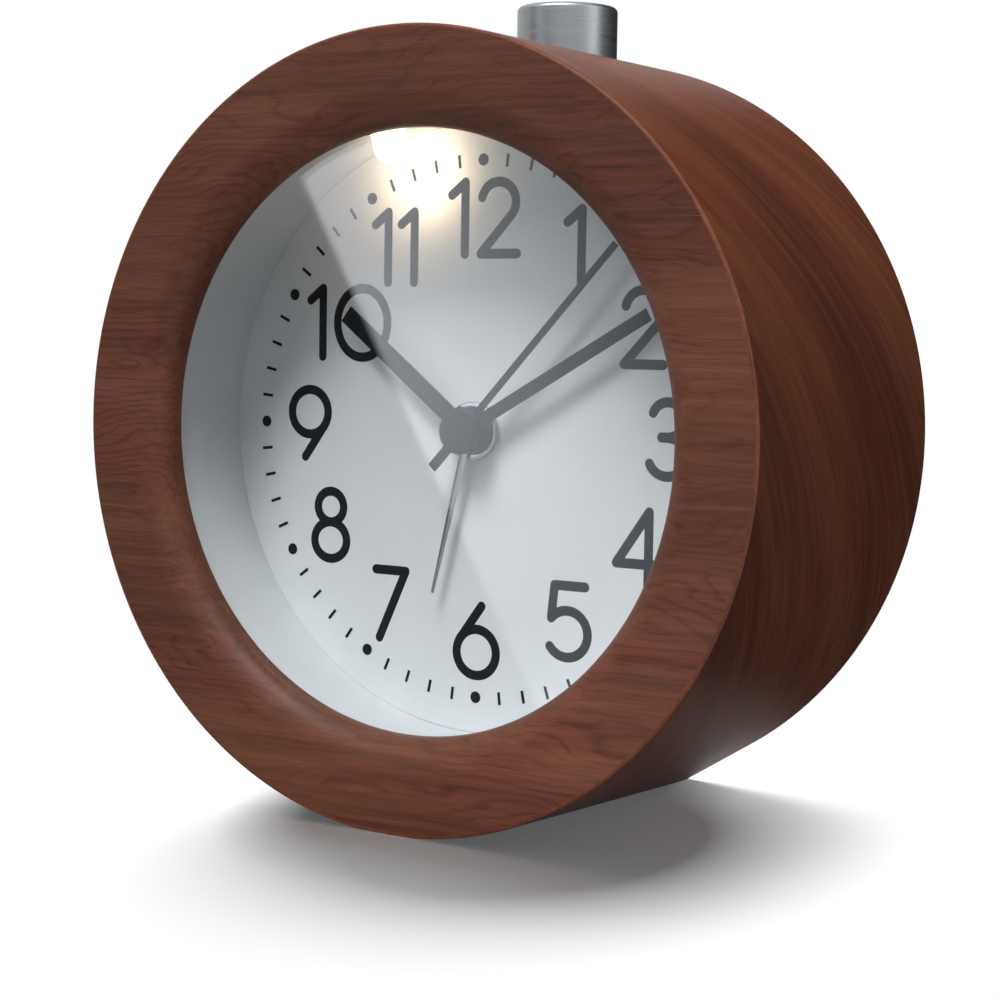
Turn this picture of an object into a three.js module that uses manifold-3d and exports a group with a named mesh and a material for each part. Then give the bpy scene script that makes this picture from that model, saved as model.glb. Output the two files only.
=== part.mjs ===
// Wooden analogue alarm clock with a lit dial.
// Millimetres, +Z up. The dial faces -Y, and the origin is the middle of the foot it stands on.
import * as THREE from 'three';
import { mergeVertices } from 'three/addons/utils/BufferGeometryUtils.js';
import Module from 'manifold-3d';

const wasm = await Module();
wasm.setup();

// Wooden case. Distances along the clock's own axis are counted from the dial's face.
const caseRadius = 55;
const wallThickness = 8.5;
const frontDepth = 21;
const backDepth = 32;
const leanBackDegrees = 1.5;
const footHalfWidth = 18;
const footTrim = 0.2;
const edgeEase = 0.5;
const lipOverlap = 4.9;
const lipThickness = 0.8;
const rollWidth = 5;
const rollDepth = 3.9;
const rebateWidth = 3.5;
const caseSides = 48;

// Clearances
const fitGap = 0.3;
const runGap = 0.15;
const handGap = 0.3;
const layerGap = 0.5;
const overrun = 1;

// Lens, drum and dial
const lensThickness = 1.6;
const drumWall = 1.8;
const cupWall = 1.5;
const cupStep = 0.5;
const dialHidden = 1.3;
const dialSeam = 0.7;
const dialThickness = 0.6;
const webThickness = 1.5;
const flangeThickness = 1.5;
const roundSides = 36;
const rollSteps = 4;
const domeSteps = 3;
const cornerSteps = 2;

// Neck and arbors, from the inside out
const secondArborRadius = 0.45;
const arborWall = 0.4;
const neckWall = 0.8;
const nutWall = 0.95;
const nutThickness = 1.1;
const neckProud = 1.5;
const pipeSides = 12;

// Hands
const handThickness = 0.25;
const hubRadius = 3.4;
const alarmHubRadius = 2.9;
const capRadius = 1.2;
const capThickness = 0.35;
const hourLength = 27;
const hourWidth = 2.7;
const minuteLength = 34;
const minuteWidth = 1.6;
const secondLength = 36;
const secondWidth = 0.85;
const secondTail = 7.4;
const alarmLength = 24.3;
const alarmRootWidth = 1.5;
const alarmTipWidth = 0.5;
const hourAngle = -52.5;
const minuteAngle = 60.3;
const secondAngle = 43;
const alarmAngle = 194;

// Gear teeth: shares are of the module, or of the tooth pitch
const addendumShare = 0.85;
const dedendumShare = 1.2;
const tipWidthShare = 0.22;
const rootWidthShare = 0.6;
const pointedAbove = 16;
const wheelThickness = 0.8;
const pressShare = 0.2;
const pinionThickness = 1.4;
const arborRadius = 0.6;

// Seconds train
const pinionTeeth = 6;
const thirdTeeth = 45;
const centreTeeth = 48;
const secondTeeth = 30;
const intermediateTeeth = 36;
const thirdModule = 0.48;
const secondModule = 0.4;
const rotorModule = 0.32;
const thirdDirection = 120;
const intermediateDirection = 20;
const rotorDirection = 50;

// Hands train and alarm train
const cannonTeeth = 12;
const motionTeeth = 36;
const motionPinionTeeth = 10;
const hourTeeth = 40;
const cannonModule = 0.375;
const setTeeth = 12;
const alarmTeeth = 24;
const alarmSetTeeth = 18;
const alarmModule = 0.6;
const motionDirection = 200;
const setDirection = 215;
const alarmDirection = -35;

// Movement housing and motor
const housingWall = 1.2;
const housingHalfWidth = 26;
const housingUp = 29;
const housingDown = 14.8;
const housingCorner = 3;
const middlePlateThickness = 0.7;
const magnetRadius = 2.8;
const magnetThickness = 2;
const statorThickness = 0.8;
const statorRim = 1.6;
const coilRadius = 3;
const coilLength = 20;
const coilCoreWidth = 2.4;
const postRadius = 1.4;
const sleeveRadius = 1.5;
const plateTop = 19;
const plateNotchSide = 16.8;
const plateNotchHeight = -5.6;
const coilSide = 20.5;
const coilBottom = -2.4;

// Setting knobs
const setArborRadius = 1;
const knobRadius = 5.5;
const knobThickness = 3.4;
const knobFlutes = 12;
const flutePoints = 3;
const knobFluteDepth = 0.45;
const knobBoss = 0.4;
const knobBossShare = 0.5;
const knobGrip = 2.4;

// Rear cover, screws and slide switch
const coverRecess = 2.7;
const coverThickness = 2;
const screwShankRadius = 0.85;
const screwHeadRadius = 1.55;
const screwHeadThickness = 1.1;
const screwCrownShare = 0.5;
const screwLength = 8;
const screwCount = 4;
const screwStart = 45;
const soundHoleRadius = 0.9;
const soundHoleCount = 6;
const soundRingRadius = 4;
const sliderSide = -24;
const sliderHeight = 14;
const sliderLength = 3;
const sliderWidth = 2.4;
const sliderProud = 1;
const sliderTravel = 4;
const slideSwitchWall = 2.5;
const slideSwitchDepth = 3.6;
const buzzerRadius = 10;
const buzzerThickness = 3;
const buzzerLidShare = 0.25;
const buzzerSide = 23;
const buzzerHeight = 14;

// Battery and its tray
const cellRadius = 7.1;
const cellLength = 49;
const nubRadius = 2.7;
const nubLength = 1.5;
const cellEase = 0.6;
const trayWall = 1.2;
const trayGap = 0.5;
const doorThickness = 1.2;
const doorLedge = 0.7;
const doorGripWidth = 12;
const doorGripHeight = 2.2;
const doorGripDepth = 0.5;
const doorGrooves = 3;
const contactThickness = 0.4;
const contactWidth = 10;
const springRoom = 2.6;
const contactWire = 0.35;
const contactTurns = 3;
const springTaperShare = 0.5;

// Circuit board and its parts
const boardStandoff = 1.6;
const boardThickness = 1.2;
const boardHalfWidth = 16;
const boardDrop = 8.5;
const boardHeight = 14;
const boardPostSide = 11;
const pushSwitchDepth = 4;
const pushSwitchWidth = 6;
const pushSwitchHeight = 3.4;
const pushNubRadius = 1.2;
const pushNubHeight = 1.3;
const crystalRadius = 1;
const crystalLength = 6;
const chipRadius = 3;
const chipHeight = 0.8;

// Top button
const buttonRadius = 7.5;
const buttonProud = 7.5;
const buttonWall = 1.2;
const buttonRoof = 1.6;
const buttonEase = 0.7;
const buttonTravel = 1.5;
const buttonHoleGap = 0.4;
const counterboreDepth = 4.3;
const bushRadius = 4.6;
const bushWall = 1.9;
const bushFlange = 1;
const plungerHead = 1;
const clipThickness = 0.7;
const clipWidth = 1.3;
const clipBite = 0.5;
const clipMouth = 0.5;
const buttonWire = 0.3;
const buttonTurns = 5;
const coilWireSides = 6;
const holeSides = 8;
const coilSteps = 8;

// Lamp in the drum wall
const lampRadius = 2.5;
const lampRim = 0.4;
const lampReach = 4.2;
const lampBase = 0.8;
const lampDepth = 8;
const lampAngle = -13.6;

// Worked out from the sizes above: stations along the clock's axis, from front to back
const lean = THREE.MathUtils.degToRad(leanBackDegrees);
const frontPlane = -frontDepth;
const rearPlane = backDepth;
const cavityRadius = caseRadius - wallThickness;
const openingRadius = cavityRadius - lipOverlap;
const lipFront = frontPlane + rollDepth;
const lipBack = lipFront + lipThickness;
const lensFront = lipBack + fitGap;
const lensBack = lensFront + lensThickness;
const drumFront = lensBack + fitGap;
const drumRadius = cavityRadius - fitGap;
const dialRadius = openingRadius + dialHidden;
const cupRadius = dialRadius + dialSeam;
const webFront = dialThickness + fitGap;
const webBack = webFront + webThickness;
const coverBack = rearPlane - coverRecess;
const coverFront = coverBack - coverThickness;
const rebateFront = coverFront - fitGap;
const rebateRadius = cavityRadius + rebateWidth;
const coverRadius = rebateRadius - fitGap;

const knobFloor = coverBack + fitGap + knobGrip;

// Radii of the nested pipes
const minutePipeBore = secondArborRadius + runGap;
const minutePipeRadius = minutePipeBore + arborWall;
const hourPipeBore = minutePipeRadius + runGap;
const hourPipeRadius = hourPipeBore + arborWall;
const alarmPipeBore = hourPipeRadius + runGap;
const alarmPipeRadius = alarmPipeBore + arborWall;
const neckBore = alarmPipeRadius + runGap;
const neckRadius = neckBore + neckWall;
const nutBore = neckRadius + runGap;
const nutRadius = nutBore + nutWall;
const neckFront = -neckProud;

// Faces of the hands, each in front of the last
const alarmHandBack = neckFront - handGap;
const hourHandBack = alarmHandBack - handThickness - handGap;
const minuteHandBack = hourHandBack - handThickness - handGap;
const secondHandBack = minuteHandBack - handThickness - handGap;

// Layers inside the movement
const housingFront = webBack + fitGap;
const alarmLayer = housingFront + housingWall + layerGap;
const hourLayer = alarmLayer + wheelThickness + layerGap;
const motionLayer = hourLayer + pinionThickness;
const centreLayer = motionLayer + wheelThickness + layerGap;
const middlePlateFront = centreLayer + pinionThickness + layerGap;
const middlePlateBack = middlePlateFront + middlePlateThickness;
const thirdLayer = middlePlateBack + layerGap;
const secondLayer = thirdLayer + pinionThickness;
const intermediateLayer = secondLayer + pinionThickness;
const housingBackInside = intermediateLayer + pinionThickness + layerGap;
const housingBack = housingBackInside + housingWall;
const statorFront = thirdLayer + (magnetThickness - statorThickness) / 2;

// Places of the arbors across the clock: x to the right, z up, as seen from the front
const centre = { x: 0, z: 0 };
const thirdDistance = pairDistance(thirdModule, pinionTeeth, thirdTeeth);
const centreModule = pairModule(thirdDistance, pinionTeeth, centreTeeth);
const motionDistance = pairDistance(cannonModule, cannonTeeth, motionTeeth);
const hourModule = pairModule(motionDistance, motionPinionTeeth, hourTeeth);
const secondDistance = pairDistance(secondModule, secondTeeth, pinionTeeth);
const rotorDistance = pairDistance(rotorModule, intermediateTeeth, pinionTeeth);
const setDistance = pairDistance(cannonModule, motionTeeth, setTeeth);
const alarmDistance = pairDistance(alarmModule, alarmTeeth, alarmSetTeeth);
const third = along(centre, thirdDirection, thirdDistance);
const intermediate = along(centre, intermediateDirection, secondDistance);
const rotor = along(intermediate, rotorDirection, rotorDistance);
const motion = along(centre, motionDirection, motionDistance);
const timeSet = along(motion, setDirection, setDistance);
const alarmSet = along(centre, alarmDirection, alarmDistance);

// Battery, board and button follow the movement and the cover
const cellHeight = -(housingDown + trayGap + trayWall + fitGap + cellRadius);
const doorBack = coverBack;
const doorFront = doorBack - doorThickness;
const cellDepth = doorFront - fitGap - cellRadius;
const trayFloor = cellDepth - cellRadius - fitGap;
const cellLeft = -(cellLength + nubLength) / 2;
const cellRight = cellLeft + cellLength;
const trayLeft = cellLeft - springRoom - contactThickness;
const trayRight = cellRight + nubLength + contactThickness + fitGap * 2;
const trayTop = cellHeight + cellRadius + fitGap;
const trayBottom = cellHeight - cellRadius - fitGap;
const boardTop = cavityRadius - boardDrop;
const boardBottom = boardTop - boardHeight;
const boardFront = housingBack + boardStandoff;
const boardBack = boardFront + boardThickness;
const pushSwitchFront = boardBack + fitGap;
const buttonDepth = pushSwitchFront + pushSwitchDepth / 2;
const plungerBottom = boardTop + pushNubHeight + fitGap + buttonTravel;
const plungerRadius = bushRadius - bushWall - runGap;
const buttonTop = caseRadius + buttonProud;
const counterboreFloor = caseRadius - counterboreDepth;
const buttonSkirt = counterboreFloor + buttonTravel + fitGap;
const buttonHoleRadius = buttonRadius + buttonHoleGap;
const bushBottom = cavityRadius - drumWall - fitGap * 3;

// Ways of making geometry
function closed(geometry) {
  // keeps only the corners' places, joins corners that meet and turns the skin outwards
  const bare = new THREE.BufferGeometry();
  bare.setAttribute('position', geometry.getAttribute('position'));
  if (geometry.index) bare.setIndex(geometry.index);
  const merged = mergeVertices(bare);
  const corners = merged.index.array;
  const kept = [];
  for (let i = 0; i < corners.length; i += 3) {
    const [a, b, c] = [corners[i], corners[i + 1], corners[i + 2]];
    if (a !== b && b !== c && c !== a) kept.push(a, b, c);
  }
  merged.setIndex(signedVolume(merged, kept) < 0 ? kept.reverse() : kept);
  return merged;
}

function signedVolume(geometry, corners) {
  const place = geometry.getAttribute('position');
  const [p, q, r] = [new THREE.Vector3(), new THREE.Vector3(), new THREE.Vector3()];
  let sum = 0;
  for (let i = 0; i < corners.length; i += 3) {
    p.fromBufferAttribute(place, corners[i]);
    q.fromBufferAttribute(place, corners[i + 1]);
    r.fromBufferAttribute(place, corners[i + 2]);
    sum += p.dot(q.cross(r));
  }
  return sum;
}

function toSolid(geometry) {
  const mesh = closed(geometry);
  return new wasm.Manifold(new wasm.Mesh({
    numProp: 3,
    vertProperties: new Float32Array(mesh.getAttribute('position').array),
    triVerts: new Uint32Array(mesh.index.array),
  }));
}

function fromSolid(solid) {
  const mesh = solid.getMesh();
  const geometry = new THREE.BufferGeometry();
  geometry.setAttribute('position', new THREE.BufferAttribute(mesh.vertProperties.slice(), 3));
  geometry.setIndex(Array.from(mesh.triVerts));
  return geometry;
}

function join(...geometries) {
  return fromSolid(geometries.map(toSolid).reduce((sum, next) => sum.add(next)));
}

function cut(base, ...tools) {
  return fromSolid(tools.map(toSolid).reduce((rest, tool) => rest.subtract(tool), toSolid(base)));
}

function turned(profile, sides = roundSides) {
  // revolves a closed outline of [radius, station] corners round the clock's axis
  const corners = profile.map(([radius, station]) => new THREE.Vector2(radius, station));
  corners.push(corners[0].clone());
  return new THREE.LatheGeometry(corners, sides);
}

function ring(inner, outer, from, to, sides = roundSides) {
  return turned([[inner, from], [outer, from], [outer, to], [inner, to]], sides);
}

function rod(radius, from, to, sides = pipeSides) {
  return turned([[0, from], [radius, from], [radius, to], [0, to]], sides);
}

function upright(geometry) {
  // stands a piece turned round the clock's axis on end, its front face down
  return geometry.rotateX(Math.PI / 2);
}

function at(geometry, place) {
  return geometry.translate(place.x, 0, place.z);
}

function slab(shape, from, to, curveSegments = holeSides / 2) {
  // a plate across the clock's axis, from one station to the next
  const geometry = new THREE.ExtrudeGeometry(shape, { depth: to - from, bevelEnabled: false, curveSegments });
  return geometry.rotateX(Math.PI / 2).translate(0, to, 0);
}

function box(left, right, front, back, bottom, top) {
  const geometry = new THREE.BoxGeometry(right - left, back - front, top - bottom);
  return geometry.translate((left + right) / 2, (front + back) / 2, (bottom + top) / 2);
}

function rectangle(left, right, bottom, top, corner = 0) {
  const shape = new THREE.Shape();
  shape.moveTo(left + corner, bottom);
  shape.lineTo(right - corner, bottom);
  if (corner) shape.absarc(right - corner, bottom + corner, corner, -Math.PI / 2, 0);
  shape.lineTo(right, top - corner);
  if (corner) shape.absarc(right - corner, top - corner, corner, 0, Math.PI / 2);
  shape.lineTo(left + corner, top);
  if (corner) shape.absarc(left + corner, top - corner, corner, Math.PI / 2, Math.PI);
  shape.lineTo(left, bottom + corner);
  if (corner) shape.absarc(left + corner, bottom + corner, corner, Math.PI, Math.PI * 3 / 2);
  return shape;
}

function circleHole(shape, place, radius) {
  const hole = new THREE.Path();
  hole.absarc(place.x, place.z, radius, 0, Math.PI * 2);
  shape.holes.push(hole);
}

function along(from, direction, distance) {
  const angle = THREE.MathUtils.degToRad(direction);
  return { x: from.x + distance * Math.cos(angle), z: from.z + distance * Math.sin(angle) };
}

function coilWire(radiusAt, from, to, turns, wireRadius) {
  // one unbroken round wire that winds from one height to the next
  const points = [];
  const count = turns * coilSteps;
  for (let i = 0; i <= count; i += 1) {
    const share = i / count;
    const angle = share * turns * Math.PI * 2;
    const radius = radiusAt(share);
    points.push(new THREE.Vector3(radius * Math.cos(angle), radius * Math.sin(angle), from + (to - from) * share));
  }
  const section = new THREE.Shape();
  section.absarc(0, 0, wireRadius, 0, Math.PI * 2);
  const extrudePath = new THREE.CatmullRomCurve3(points);
  return new THREE.ExtrudeGeometry(section, { steps: count, curveSegments: coilWireSides / 2, extrudePath });
}

// Gears
function pairModule(distance, teethA, teethB) {
  return 2 * distance / (teethA + teethB);
}

function pairDistance(module, teethA, teethB) {
  return module * (teethA + teethB) / 2;
}

function pairPhase(from, to, fromTeeth, toTeeth, fromPhase) {
  // turns the second gear so that its gap faces the first gear's tooth
  const direction = Math.atan2(to.z - from.z, to.x - from.x);
  return direction + Math.PI - (fromTeeth / toTeeth) * (fromPhase - direction) - Math.PI / toTeeth;
}

function gear(teeth, module, from, to, phase = 0) {
  const pitchRadius = module * teeth / 2;
  const tipRadius = pitchRadius + module * addendumShare;
  const rootRadius = pitchRadius - module * dedendumShare;
  const pitchAngle = Math.PI * 2 / teeth;
  const tipHalf = pitchAngle * tipWidthShare / 2;
  const rootHalf = pitchAngle * rootWidthShare / 2;
  const corners = [];
  for (let tooth = 0; tooth < teeth; tooth += 1) {
    const middle = phase + tooth * pitchAngle;
    corners.push([rootRadius, middle - rootHalf]);
    if (teeth > pointedAbove) corners.push([tipRadius, middle]);
    else corners.push([tipRadius, middle - tipHalf], [tipRadius, middle + tipHalf]);
    corners.push([rootRadius, middle + rootHalf]);
  }
  const shape = new THREE.Shape(corners.map(([radius, angle]) => (
    new THREE.Vector2(radius * Math.cos(angle), radius * Math.sin(angle)))));
  return slab(shape, from, to);
}

// Assembly
const clock = new THREE.Group();

function add(name, geometry, look, place = centre, turn = 0) {
  const mesh = new THREE.Mesh(closed(geometry), new THREE.MeshStandardMaterial(look));
  mesh.name = name;
  mesh.position.set(place.x, 0, place.z);
  mesh.rotation.y = THREE.MathUtils.degToRad(turn);
  clock.add(mesh);
}

const wood = { color: 0x6e4130, roughness: 0.45, metalness: 0 };
const clear = { color: 0xf2f5f6, roughness: 0.03, metalness: 0, transparent: true, opacity: 0.25 };
const whitePlastic = { color: 0xdfe1e2, roughness: 0.3, metalness: 0 };
const dialWhite = { color: 0xe6e8ea, roughness: 0.6, metalness: 0 };
const handBlack = { color: 0x1c1e20, roughness: 0.4, metalness: 0.2 };
const brightSteel = { color: 0xc6c8ca, roughness: 0.2, metalness: 1 };
const brushedAluminium = { color: 0x9fa1a3, roughness: 0.35, metalness: 1 };
const blackPlastic = { color: 0x222426, roughness: 0.5, metalness: 0 };
const gearWhite = { color: 0xd9d4c4, roughness: 0.45, metalness: 0 };
const copper = { color: 0xb5683a, roughness: 0.35, metalness: 1 };
const boardGreen = { color: 0x2d6b45, roughness: 0.5, metalness: 0 };
const brass = { color: 0xb99a52, roughness: 0.3, metalness: 1 };
const lampWhite = { color: 0xfff2d8, roughness: 0.2, metalness: 0 };

// Case: a round barrel whose back spreads into a flat foot
function barrelRing(station, inset, footed) {
  const footBottom = -caseRadius + (rearPlane - frontPlane) * Math.tan(lean);
  const corner = new THREE.Vector2(footHalfWidth, footBottom);
  const flankAngle = Math.atan2(corner.x, -corner.y) + Math.acos(caseRadius / corner.length());
  const points = [];
  for (let side = 0; side < caseSides; side += 1) {
    const angle = (side + 1 / 2) * Math.PI * 2 / caseSides;
    const fromBottom = Math.min(angle, Math.PI * 2 - angle);
    const radius = caseRadius - inset;
    const share = radius / caseRadius;
    const onCorner = footed && fromBottom < flankAngle;
    const x = onCorner ? Math.sign(Math.sin(angle)) * corner.x * share : radius * Math.sin(angle);
    const z = onCorner ? corner.y * share : -radius * Math.cos(angle);
    points.push(new THREE.Vector3(x, station, z));
  }
  return points;
}

function loft(rings) {
  // skins a row of rings that have the same number of corners, and closes both ends
  const count = rings[0].length;
  const points = [new THREE.Vector3(0, rings[0][0].y, 0), ...rings.flat()];
  points.push(new THREE.Vector3(0, rings.at(-1)[0].y, 0));
  const faces = [];
  for (let i = 0; i < count; i += 1) {
    const next = (i + 1) % count;
    faces.push(0, 1 + next, 1 + i);
    for (let row = 0; row < rings.length - 1; row += 1) {
      const here = 1 + row * count;
      const there = here + count;
      faces.push(here + i, here + next, there + next, here + i, there + next, there + i);
    }
    const last = 1 + (rings.length - 1) * count;
    faces.push(last + i, last + next, points.length - 1);
  }
  const geometry = new THREE.BufferGeometry().setFromPoints(points);
  geometry.setIndex(faces);
  return geometry;
}

function woodCase() {
  const barrel = loft([
    barrelRing(frontPlane, edgeEase, false),
    barrelRing(frontPlane + edgeEase, 0, false),
    barrelRing(rearPlane - edgeEase, 0, true),
    barrelRing(rearPlane, edgeEase, true),
  ]);
  const hollow = turned([
    [0, frontPlane - overrun],
    [openingRadius + rollWidth, frontPlane - overrun],
    ...rolledLip(),
    [openingRadius, lipBack],
    [cavityRadius, lipBack],
    [cavityRadius, rebateFront],
    [rebateRadius, rebateFront],
    [rebateRadius, rearPlane + overrun],
    [0, rearPlane + overrun],
  ], caseSides);
  const depth = rearPlane - frontPlane;
  const floor = box(-caseRadius, caseRadius, -overrun, depth + overrun, -caseRadius, 0);
  floor.rotateX(lean).translate(0, frontPlane, -caseRadius + footTrim);
  const buttonHole = upright(rod(buttonHoleRadius, counterboreFloor, caseRadius + overrun, pipeSides * 2));
  const bushHole = upright(rod(bushRadius + fitGap, cavityRadius - overrun, caseRadius, pipeSides * 2));
  const screwHoles = screwPlaces().map((place) => (
    at(rod(screwShankRadius + runGap, rebateFront - screwLength, coverBack), place)));
  return cut(
    barrel,
    hollow,
    floor,
    buttonHole.translate(0, buttonDepth, 0),
    bushHole.translate(0, buttonDepth, 0),
    ...screwHoles,
  );
}

function rolledLip() {
  // a quarter of an ellipse, from the flat front down to the edge of the opening
  const points = [];
  for (let step = 0; step <= rollSteps; step += 1) {
    const angle = step / rollSteps * Math.PI / 2;
    const radius = openingRadius + rollWidth * (1 - Math.sin(angle));
    points.push([radius, frontPlane + rollDepth * (1 - Math.cos(angle))]);
  }
  return points;
}

function screwPlaces() {
  const circle = (cavityRadius + coverRadius) / 2;
  return Array.from({ length: screwCount }, (_, i) => (
    along(centre, screwStart + i * 360 / screwCount, circle)));
}

// Glass, drum and dial
function lens() {
  const radius = cavityRadius - fitGap;
  return turned([
    [0, lensFront], [radius - fitGap, lensFront], [radius, lensFront + fitGap], [radius, lensBack], [0, lensBack],
  ]);
}

function cupRadiusAt(station) {
  const share = (station - drumFront) / (webFront - drumFront);
  return openingRadius + cupStep + (cupRadius - openingRadius - cupStep) * share;
}

function drum() {
  const innerRadius = drumRadius - drumWall;
  const holeRadius = neckRadius + fitGap;
  const shell = turned([
    [cupRadiusAt(drumFront), drumFront],
    [drumRadius, drumFront],
    [drumRadius, drumFront + flangeThickness],
    [cupRadiusAt(drumFront) + cupWall, drumFront + flangeThickness],
    [cupRadius + cupWall, webFront],
    [drumRadius, webFront],
    [drumRadius, rebateFront],
    [innerRadius, rebateFront],
    [innerRadius, webBack],
    [holeRadius, webBack],
    [holeRadius, webFront],
    [cupRadius, webFront],
  ]);
  const bushHole = upright(rod(bushRadius + fitGap, innerRadius - overrun, drumRadius + overrun));
  const lampHole = radial(rod(lampRadius + runGap, openingRadius, drumRadius));
  return cut(shell, lampHole, bushHole.translate(0, buttonDepth, 0));
}

function radial(geometry) {
  // stands a turned piece across the drum wall, at the lamp's place
  return upright(geometry).translate(0, -lampDepth, 0).rotateY(THREE.MathUtils.degToRad(lampAngle));
}

function lamp() {
  const tip = cupRadiusAt(-lampDepth) - lampReach;
  const dome = [];
  for (let step = 0; step <= domeSteps; step += 1) {
    const angle = step / domeSteps * Math.PI / 2;
    dome.push([lampRadius * Math.sin(angle), tip + lampRadius * (1 - Math.cos(angle))]);
  }
  const seat = cupRadius + cupWall;
  const rim = lampRadius + lampRim;
  const profile = [...dome, [lampRadius, seat], [rim, seat], [rim, seat + lampBase], [0, seat + lampBase]];
  return radial(turned(profile, pipeSides));
}

// Hands
function hand(outline, hub, back, bore) {
  const bar = slab(outline, back - handThickness, back);
  return cut(join(bar, rod(hub, back - handThickness, back, pipeSides * 2)),
    rod(bore, back - handThickness - overrun, back + overrun));
}

function bar(width, length) {
  return rectangle(-width / 2, width / 2, 0, length);
}

function secondHand() {
  const half = secondWidth / 2;
  const outline = new THREE.Shape();
  outline.moveTo(-half, half - secondTail);
  outline.absarc(0, half - secondTail, half, Math.PI, Math.PI * 2);
  outline.lineTo(half, secondLength - half);
  outline.absarc(0, secondLength - half, half, 0, Math.PI);
  const blade = hand(outline, hubRadius, secondHandBack, secondArborRadius + runGap);
  const front = secondHandBack - handThickness;
  return join(blade, rod(capRadius, front - capThickness, front + handThickness / 2));
}

function alarmOutline() {
  const root = alarmRootWidth / 2;
  const tip = alarmTipWidth / 2;
  return new THREE.Shape([[-root, 0], [root, 0], [tip, alarmLength], [-tip, alarmLength]]
    .map(([x, z]) => new THREE.Vector2(x, z)));
}

// Wheels and pinions. Each is drawn round its own arbor
const thirdPhase = pairPhase(centre, third, pinionTeeth, thirdTeeth, 0);
const centrePhase = pairPhase(third, centre, pinionTeeth, centreTeeth, 0);
const intermediatePhase = pairPhase(centre, intermediate, secondTeeth, pinionTeeth, 0);
const rotorPhase = pairPhase(intermediate, rotor, intermediateTeeth, pinionTeeth, 0);
const motionPhase = pairPhase(centre, motion, cannonTeeth, motionTeeth, 0);
const hourPhase = pairPhase(motion, centre, motionPinionTeeth, hourTeeth, 0);
const setPhase = pairPhase(motion, timeSet, motionTeeth, setTeeth, motionPhase);
const alarmSetPhase = pairPhase(centre, alarmSet, alarmTeeth, alarmSetTeeth, 0);
const pivotFront = housingFront + housingWall / 2;
const pivotBack = housingBackInside + housingWall / 2;

function secondWheel() {
  return join(
    gear(secondTeeth, secondModule, secondLayer, secondLayer + wheelThickness),
    gear(pinionTeeth, thirdModule, thirdLayer, secondLayer + wheelThickness / 2),
    rod(secondArborRadius, secondHandBack - handThickness * pressShare, pivotBack),
  );
}

function thirdWheel() {
  return join(
    gear(thirdTeeth, thirdModule, thirdLayer, thirdLayer + wheelThickness, thirdPhase),
    gear(pinionTeeth, centreModule, centreLayer, centreLayer + pinionThickness),
    rod(arborRadius, pivotFront, pivotBack),
  );
}

function centreWheel() {
  const wheel = gear(centreTeeth, centreModule, centreLayer, centreLayer + wheelThickness, centrePhase);
  return cut(wheel, rod(sleeveRadius + runGap, centreLayer - overrun, centreLayer + wheelThickness + overrun));
}

function intermediateWheel() {
  return join(
    gear(pinionTeeth, secondModule, secondLayer, intermediateLayer + wheelThickness / 2, intermediatePhase),
    gear(intermediateTeeth, rotorModule, intermediateLayer, intermediateLayer + wheelThickness),
    rod(arborRadius, middlePlateFront, pivotBack),
  );
}

function rotorWheel() {
  return join(
    gear(pinionTeeth, rotorModule, intermediateLayer, intermediateLayer + pinionThickness, rotorPhase),
    rod(magnetRadius, thirdLayer, thirdLayer + magnetThickness),
    rod(arborRadius, middlePlateFront, pivotBack),
  );
}

function cannonPinion() {
  const front = minuteHandBack - handThickness;
  const back = centreLayer + wheelThickness + runGap;
  const body = join(
    rod(minutePipeRadius, front, motionLayer + wheelThickness / 2),
    gear(cannonTeeth, cannonModule, motionLayer, motionLayer + wheelThickness),
    rod(sleeveRadius, motionLayer + wheelThickness / 2, back),
  );
  return cut(body, rod(minutePipeBore, front - overrun, back + overrun));
}

function motionWheel() {
  const body = join(
    gear(motionTeeth, cannonModule, motionLayer, motionLayer + wheelThickness, motionPhase),
    gear(motionPinionTeeth, hourModule, hourLayer, motionLayer + wheelThickness / 2),
  );
  return cut(body, rod(arborRadius + runGap, hourLayer - overrun, motionLayer + wheelThickness + overrun));
}

function pipeWheel(teeth, module, phase, layer, front, radius, bore) {
  const back = layer + wheelThickness;
  const body = join(gear(teeth, module, layer, back, phase), rod(radius, front, layer + wheelThickness / 2));
  return cut(body, rod(bore, front - overrun, back + overrun));
}

function setArbor(teeth, module, layer, phase) {
  return join(gear(teeth, module, layer, layer + wheelThickness, phase), rod(setArborRadius, pivotFront, knobFloor));
}

// Movement housing
function housingHalf(plateFront, wallsFrom, wallsTo) {
  const outer = rectangle(-housingHalfWidth, housingHalfWidth, -housingDown, housingUp, housingCorner);
  const plate = slab(outer, plateFront, plateFront + housingWall, cornerSteps);
  const inset = housingHalfWidth - housingWall;
  const low = housingWall - housingDown;
  outer.holes.push(rectangle(-inset, inset, low, housingUp - housingWall, housingCorner - housingWall));
  return join(plate, slab(outer, wallsFrom, wallsTo, cornerSteps));
}

function movementFront() {
  const back = housingFront + housingWall;
  const half = housingHalf(housingFront, housingFront + housingWall / 2, middlePlateFront);
  const posts = platePosts().map((place) => (
    at(rod(postRadius, back - housingWall / 2, middlePlateFront - fitGap, holeSides), place)));
  const stub = at(rod(arborRadius, back - housingWall / 2, centreLayer - fitGap, holeSides), motion);
  const neck = rod(neckRadius, neckFront, back - housingWall / 2);
  const whole = join(half, neck, stub, ...posts);
  return cut(
    whole,
    rod(neckBore, neckFront - overrun, back + overrun),
    at(rod(arborRadius + runGap, housingFront - overrun, back + overrun), third),
    at(rod(setArborRadius + runGap, housingFront - overrun, back + overrun), timeSet),
    at(rod(setArborRadius + runGap, housingFront - overrun, back + overrun), alarmSet),
  );
}

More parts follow.
